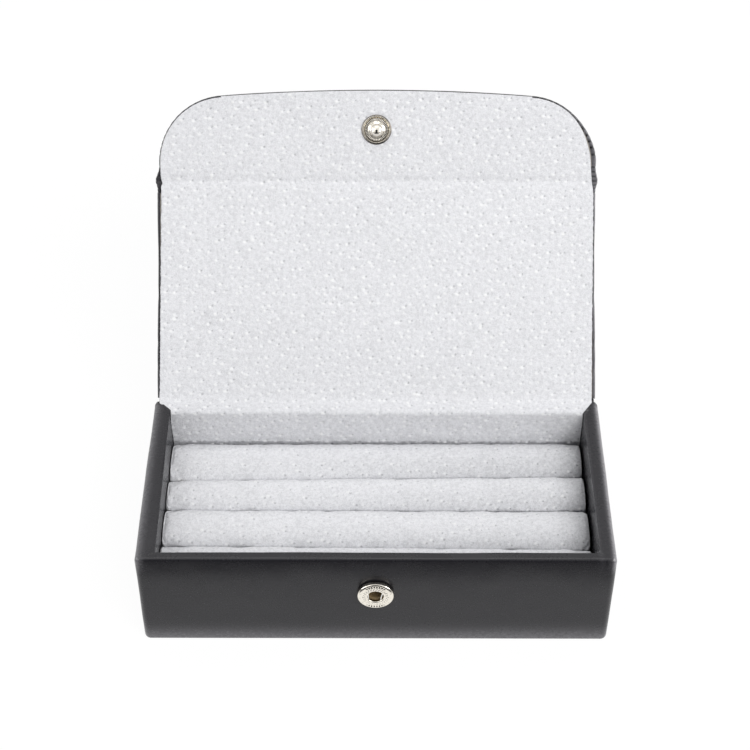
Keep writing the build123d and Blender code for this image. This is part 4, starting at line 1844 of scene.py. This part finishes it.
@dataclass
class PressStud:
    """The two halves of the press stud."""

    sizes: Sizes
    socket_radius: float = 5.75
    socket_proud: float = 2.0
    hole: float = 2.5
    wire: float = 0.25
    tooth_depth: float = 0.20
    dent_depth: float = 0.07
    milled: float = 3.42
    milled_depth: float = 0.06
    knurls: int = 44
    teeth: int = 36

    def _stand(self, piece: Piece, place: Vector, out: Vector) -> None:
        """Put a turned piece on its place with its axis pointing out.

        Args:
            piece: The piece, turned about Z.
            place: Where its origin goes, in millimetres.
            out: Where its Z axis goes.
        """
        side = Vector((1, 0, 0))
        turn = Matrix((side, out.cross(side), out)).transposed().to_4x4()
        piece.data.transform(Matrix.Translation(place * MM) @ turn)

    def _on_front(self, piece: Piece) -> Piece:
        """Put a turned piece on the front wall.

        Args:
            piece: The piece.

        Returns:
            The same piece.
        """
        place = Vector((0, -self.sizes.half_depth, self.sizes.stud_height))
        self._stand(piece, place, Vector((0, -1, 0)))
        return piece

    def socket(self) -> Piece:
        """The pressed shell on the front wall, toothed near its edge.

        Returns:
            The piece.
        """
        r, proud, hole, teeth = self.socket_radius, self.socket_proud, self.hole, self.teeth
        profile = [(3.1, 0.05), (r - 0.4, 0.05), (r - 0.05, 0.2), (r, 0.8), (r, proud - 0.7)]
        profile += arc((r - 0.45, proud - 0.5), 0.45, 0, 70, 6) + [(r - 0.5, proud - 0.01)]
        profile += [(q, proud) for q in np.linspace(r - 0.75, hole + 0.55, 16)]
        profile += arc((hole + 0.35, proud - 0.3), 0.3, 90, 180, 4)
        profile += [(hole + 0.05, proud - 0.9), (hole + 0.3, proud - 1.2)]

        def ends(angle: Array) -> Array:
            """1 at the top and at the bottom, where the teeth are."""
            return np.clip(np.abs(np.sin(angle)) * 5.0 - 3.7, 0, 1)

        def ripple(radius: Array, angle: Array) -> Array:
            """Teeth near the edge and small dents on the face.

            Args:
                radius: Distance from the axis.
                angle: Angle round it.

            Returns:
                The change of height.
            """
            ring = bell((radius - (r - 0.95)) / 0.30) * ends(angle)
            tooth = np.clip(np.cos(angle * teeth) * 2 - 1, -1, 0) * self.tooth_depth * ring
            face = np.clip((radius - hole - 0.6) / 0.2, 0, 1)
            face = face * np.clip((r - 1.5 - radius) / 0.2, 0, 1)
            dents = np.sin(angle * 19 + radius * 5) * np.sin(angle * 7 - radius * 9)
            return tooth - np.clip(dents, 0, 1) * self.dent_depth * face

        surface = lathe(profile, teeth * 8, ripple)
        x, y, z = surface.axes()
        angle = np.arctan2(y, x)
        # Painted shade in the gaps between the teeth and round the plate's foot against the
        # wall.
        gaps = np.clip(-np.cos(angle * teeth) * 2, 0, 1) * ends(angle)
        groove = bell((np.hypot(x, y) - (r - 0.95)) / 0.32) * gaps
        surface.painted = {"dip": np.maximum(groove, (z < 0.5) * 0.8)}
        piece = self._on_front(make_piece("socket_plate", surface, Finish.NICKEL))
        return fit(piece, "tray", "socket_shell")

    def spring(self) -> Piece:
        """The bent wire whose legs stand across the hole.

        Returns:
            The piece.
        """
        y, x = -(self.sizes.half_depth + 1.43), 1.94
        path = [(-x - 0.4, 3.3), (-x - 0.4, 1.2), (-x - 0.35, -1.0), (-x - 0.1, -2.6)]
        path += [(-x * 0.7, -3.75), (0.0, -4.3), (x * 0.7, -3.75)]
        path += [(x - 0.3, -2.4), (x - 0.2, -1.0), (x + 0.25, 1.2), (x + 0.4, 3.3)]
        fine = np.linspace(0, len(path) - 1, 61)
        line = smooth_between(np.arange(len(path)), np.array(path), fine)
        heading = np.gradient(line, axis=0)
        heading /= np.linalg.norm(heading, axis=1, keepdims=True)
        angle = np.linspace(0, 2 * math.pi, 13)[None, :-1]
        across = self.wire * np.cos(angle)
        px = line[:, :1] + heading[:, 1:] * across
        pz = self.sizes.stud_height + line[:, 1:] - heading[:, :1] * across
        py = np.broadcast_to(y + self.wire * np.sin(angle), px.shape)
        surface = Surface(np.stack([px, py, pz], -1), closed=True)
        piece = make_piece("socket_wire", surface, Finish.WIRE, capped=True)
        return fit(piece, "tray", "socket_spring")

    def well(self) -> Piece:
        """The eyelet behind the hole, closed at its far end.

        Returns:
            The piece.
        """
        profile = [(3.85, 0.55), (3.4, 0.62), (2.8, 0.6), (2.56, 0.45)]
        profile += [(2.56, -0.2), (2.56, -0.9), (2.56, -1.6), (2.45, -2.02)]
        profile += [(2.1, -2.18), (1.2, -2.2), (0.4, -2.16), (0.01, -2.15)]
        piece = self._on_front(make_piece("socket_well", lathe(profile, 64), Finish.WELL))
        return fit(piece, "tray", "socket_eyelet")

    def stud(self) -> Piece:
        """The turned stud on the flap: rolled flange, milled ring, dome and ball.

        Returns:
            The piece.
        """
        floor, neck, ball, centre, count = 0.35, 1.5, 2.05, 3.045, self.knurls
        profile = [(4.4, 0.02)] + arc((4.62, 0.38), 0.38, -80, 40, 7)
        profile += [(4.78, 0.70), (4.62, 0.78), (4.44, 0.81), (4.28, 0.78), (4.14, 0.68)]
        profile += [(4.02, 0.50), (3.92, floor)]
        profile += [(q, floor) for q in np.linspace(3.8, 3.0, 7)]
        profile += [(2.9, floor + 0.03), (2.72, floor + 0.14)]
        profile += [(2.55, 0.62), (2.38, 0.85), (2.15, 1.05), (1.85, 1.22), (1.62, 1.33)]
        profile += [(neck, 1.42), (neck, 1.6)]
        start = math.degrees(math.asin((1.65 - centre) / ball))
        profile += arc((0.0, centre), ball, start, 89.5, 19)

        def ripple(radius: Array, angle: Array) -> Array:
            """Milled grooves on the flange's floor."""
            ring = np.exp(-(((radius - self.milled) / 0.38) ** 4))
            return self.milled_depth * (1 + np.cos(angle * count)) * ring

        surface = lathe(profile, count * 6, ripple)
        x, y, z = surface.axes()
        radius = np.hypot(x, y)
        # Painted shade: in the milled grooves, on the flange's outer side, in the creases beside
        # the milled ring and under the ball.
        low = (z < 0.6) * (radius < 4.45)
        grooves = np.clip(0.5 - np.cos(np.arctan2(y, x) * count), 0, 1)
        darkening = np.exp(-(((radius - self.milled) / 0.42) ** 4)) * low * (grooves * 0.75 + 0.05)
        darkening = darkening + np.clip((radius - 4.60) / 0.12, 0, 1) * 0.97
        darkening = darkening + (bell((radius - 3.93) / 0.11) + bell((radius - 2.85) / 0.12) * 0.4) * low
        darkening = darkening + bell((z - 1.45) / 0.22) * 0.85
        surface.painted = {"dip": np.clip(darkening, 0, 1)}
        piece = make_piece("stud_post", surface, Finish.NICKEL)
        lean = math.radians(self.sizes.flap.lean)
        place = Vector((0, *self.sizes.flap.point(self.sizes.stud_along, 0.0)))
        self._stand(piece, place, Vector((0, -math.cos(lean), math.sin(lean))))
        return fit(piece, "flap", "stud")

    def build(self) -> list[Piece]:
        """Build socket, spring, well and stud."""
        return [self.socket(), self.spring(), self.well(), self.stud()]


# ---------------------------------------------------------------- studio


@dataclass
class Studio:
    """The white sweep, the soft lights and the camera."""

    lens: float = 82.05
    sensor: float = 36.0
    place: Place = (0.70, -375.41, 448.0)
    pitch: float = 43.952
    yaw: float = -0.149
    world: float = 0.50
    aim: Place = (0, 0, 0.03)

    def camera(self) -> None:
        """Put the camera where the photograph was taken from."""
        data = bpy.data.cameras.new("camera")
        data.lens, data.sensor_width = self.lens, self.sensor
        data.clip_start, data.clip_end = 0.01, 20.0
        camera = bpy.data.objects.new("camera", data)
        camera.location = Vector(self.place) * MM
        camera.rotation_euler = (math.radians(90 - self.pitch), 0.0, math.radians(-self.yaw))
        bpy.context.scene.collection.objects.link(camera)
        bpy.context.scene.camera = camera

    def sweep(self) -> None:
        """A wide floor that rises behind the box."""
        rise = arc((1.1, 0.5), 0.5, -90, 0, 12)
        path = [(-1.6, 0.0)] + rise + [(1.6, 2.2)]
        rows = [[(x, y * 1000, z * 1000) for y, z in path] for x in (-2000.0, 2000.0)]
        make_piece("sweep", Surface(np.array(rows)), Finish.PAPER)

    def flags(self) -> None:
        """Dark cards that only the leather and the metal mirror."""
        for name, y, z in (("card_behind", -760, 960), ("card_ahead", -64, 2)):
            rows = [[(x, *end) for x in (-380, 380)] for end in ((-900, 2), (y, z))]
            card = make_piece(name, Surface(np.array(rows, float)), Finish.FLAG)
            card.visible_camera = card.visible_diffuse = card.visible_shadow = False

    def light(self, name: str, place: Place, aim: Place, size: Point, power: float) -> Piece:
        """A soft rectangular light.

        Args:
            name: Its name.
            place: Where it stands, in metres.
            aim: What it points at, in metres.
            size: Its width and height, in metres.
            power: Its power in watts.

        Returns:
            The lamp.
        """
        data = bpy.data.lights.new(name, "AREA")
        data.shape, data.energy = "RECTANGLE", power
        data.size, data.size_y = size
        lamp = bpy.data.objects.new(name, data)
        lamp.location = place
        heading = Vector(aim) - Vector(place)
        lamp.rotation_euler = heading.to_track_quat("-Z", "Y").to_euler()
        bpy.context.scene.collection.objects.link(lamp)
        return lamp

    def build(self) -> None:
        """Set up world, sweep, lights, camera and view."""
        world = bpy.data.worlds.new("studio")
        world.use_nodes = True
        sky = Shader("sky", world.node_tree)
        strength = sky.background() * (1.0 - self.world) + self.world
        inputs = {"Color": (1.0, 1.0, 1.0), "Strength": strength}
        light = sky.node("ShaderNodeBackground", inputs=inputs)
        sky.node("ShaderNodeOutputWorld", inputs={"Surface": light})
        bpy.context.scene.world = world
        self.camera()
        self.sweep()
        self.flags()
        key = self.light("key", (0.50, -0.72, 0.95), (0, 0.03, 0.03), (0.8, 0.6), 9.3)
        key.visible_glossy = False
        self.light("fill", (-0.7, -0.45, 1.0), self.aim, (0.8, 0.8), 1.1)
        for name, side, power in (("right", 0.9, 9.0), ("left", -0.9, 5.0)):
            glow = self.light(name, (side, 0.05, 0.32), self.aim, (0.8, 0.5), power)
            glow.visible_diffuse = False
        self.light("back", (0.0, 0.55, 1.5), self.aim, (1.2, 0.5), 4.6)
        bpy.context.scene.view_settings.view_transform = "Standard"


# ---------------------------------------------------------------- the whole box


def dress_nodes() -> None:
    """Give every CAD node that stays in view its finish."""
    ends = {
        "_lining": Finish.SUEDE,
        "_leather": Finish.LEATHER,
        "_board": Finish.BOARD,
    }
    for name, node in frame["nodes"].items():
        finish = Finish.FOAM if name.startswith("roll_foam") else Finish.NICKEL
        for end, match in ends.items():
            finish = match if name.endswith(end) else finish
        node.data.materials.clear()
        node.data.materials.append(finish.material())


def main() -> None:
    """Build the box piece by piece."""
    sizes = Sizes.from_frame()
    Studio().build()
    dress_nodes()
    assemblies = (
        TrayLeather(sizes),
        HingeLeather(sizes),
        Lining(sizes, Course(sizes)),
        LidLeather(sizes),
        Rolls(sizes),
        PressStud(sizes),
    )
    for assembly in assemblies:
        for piece in assembly.build():
            log.info("%s: %d faces", piece.name, len(piece.data.polygons))


if __name__ == "__main__":
    main()
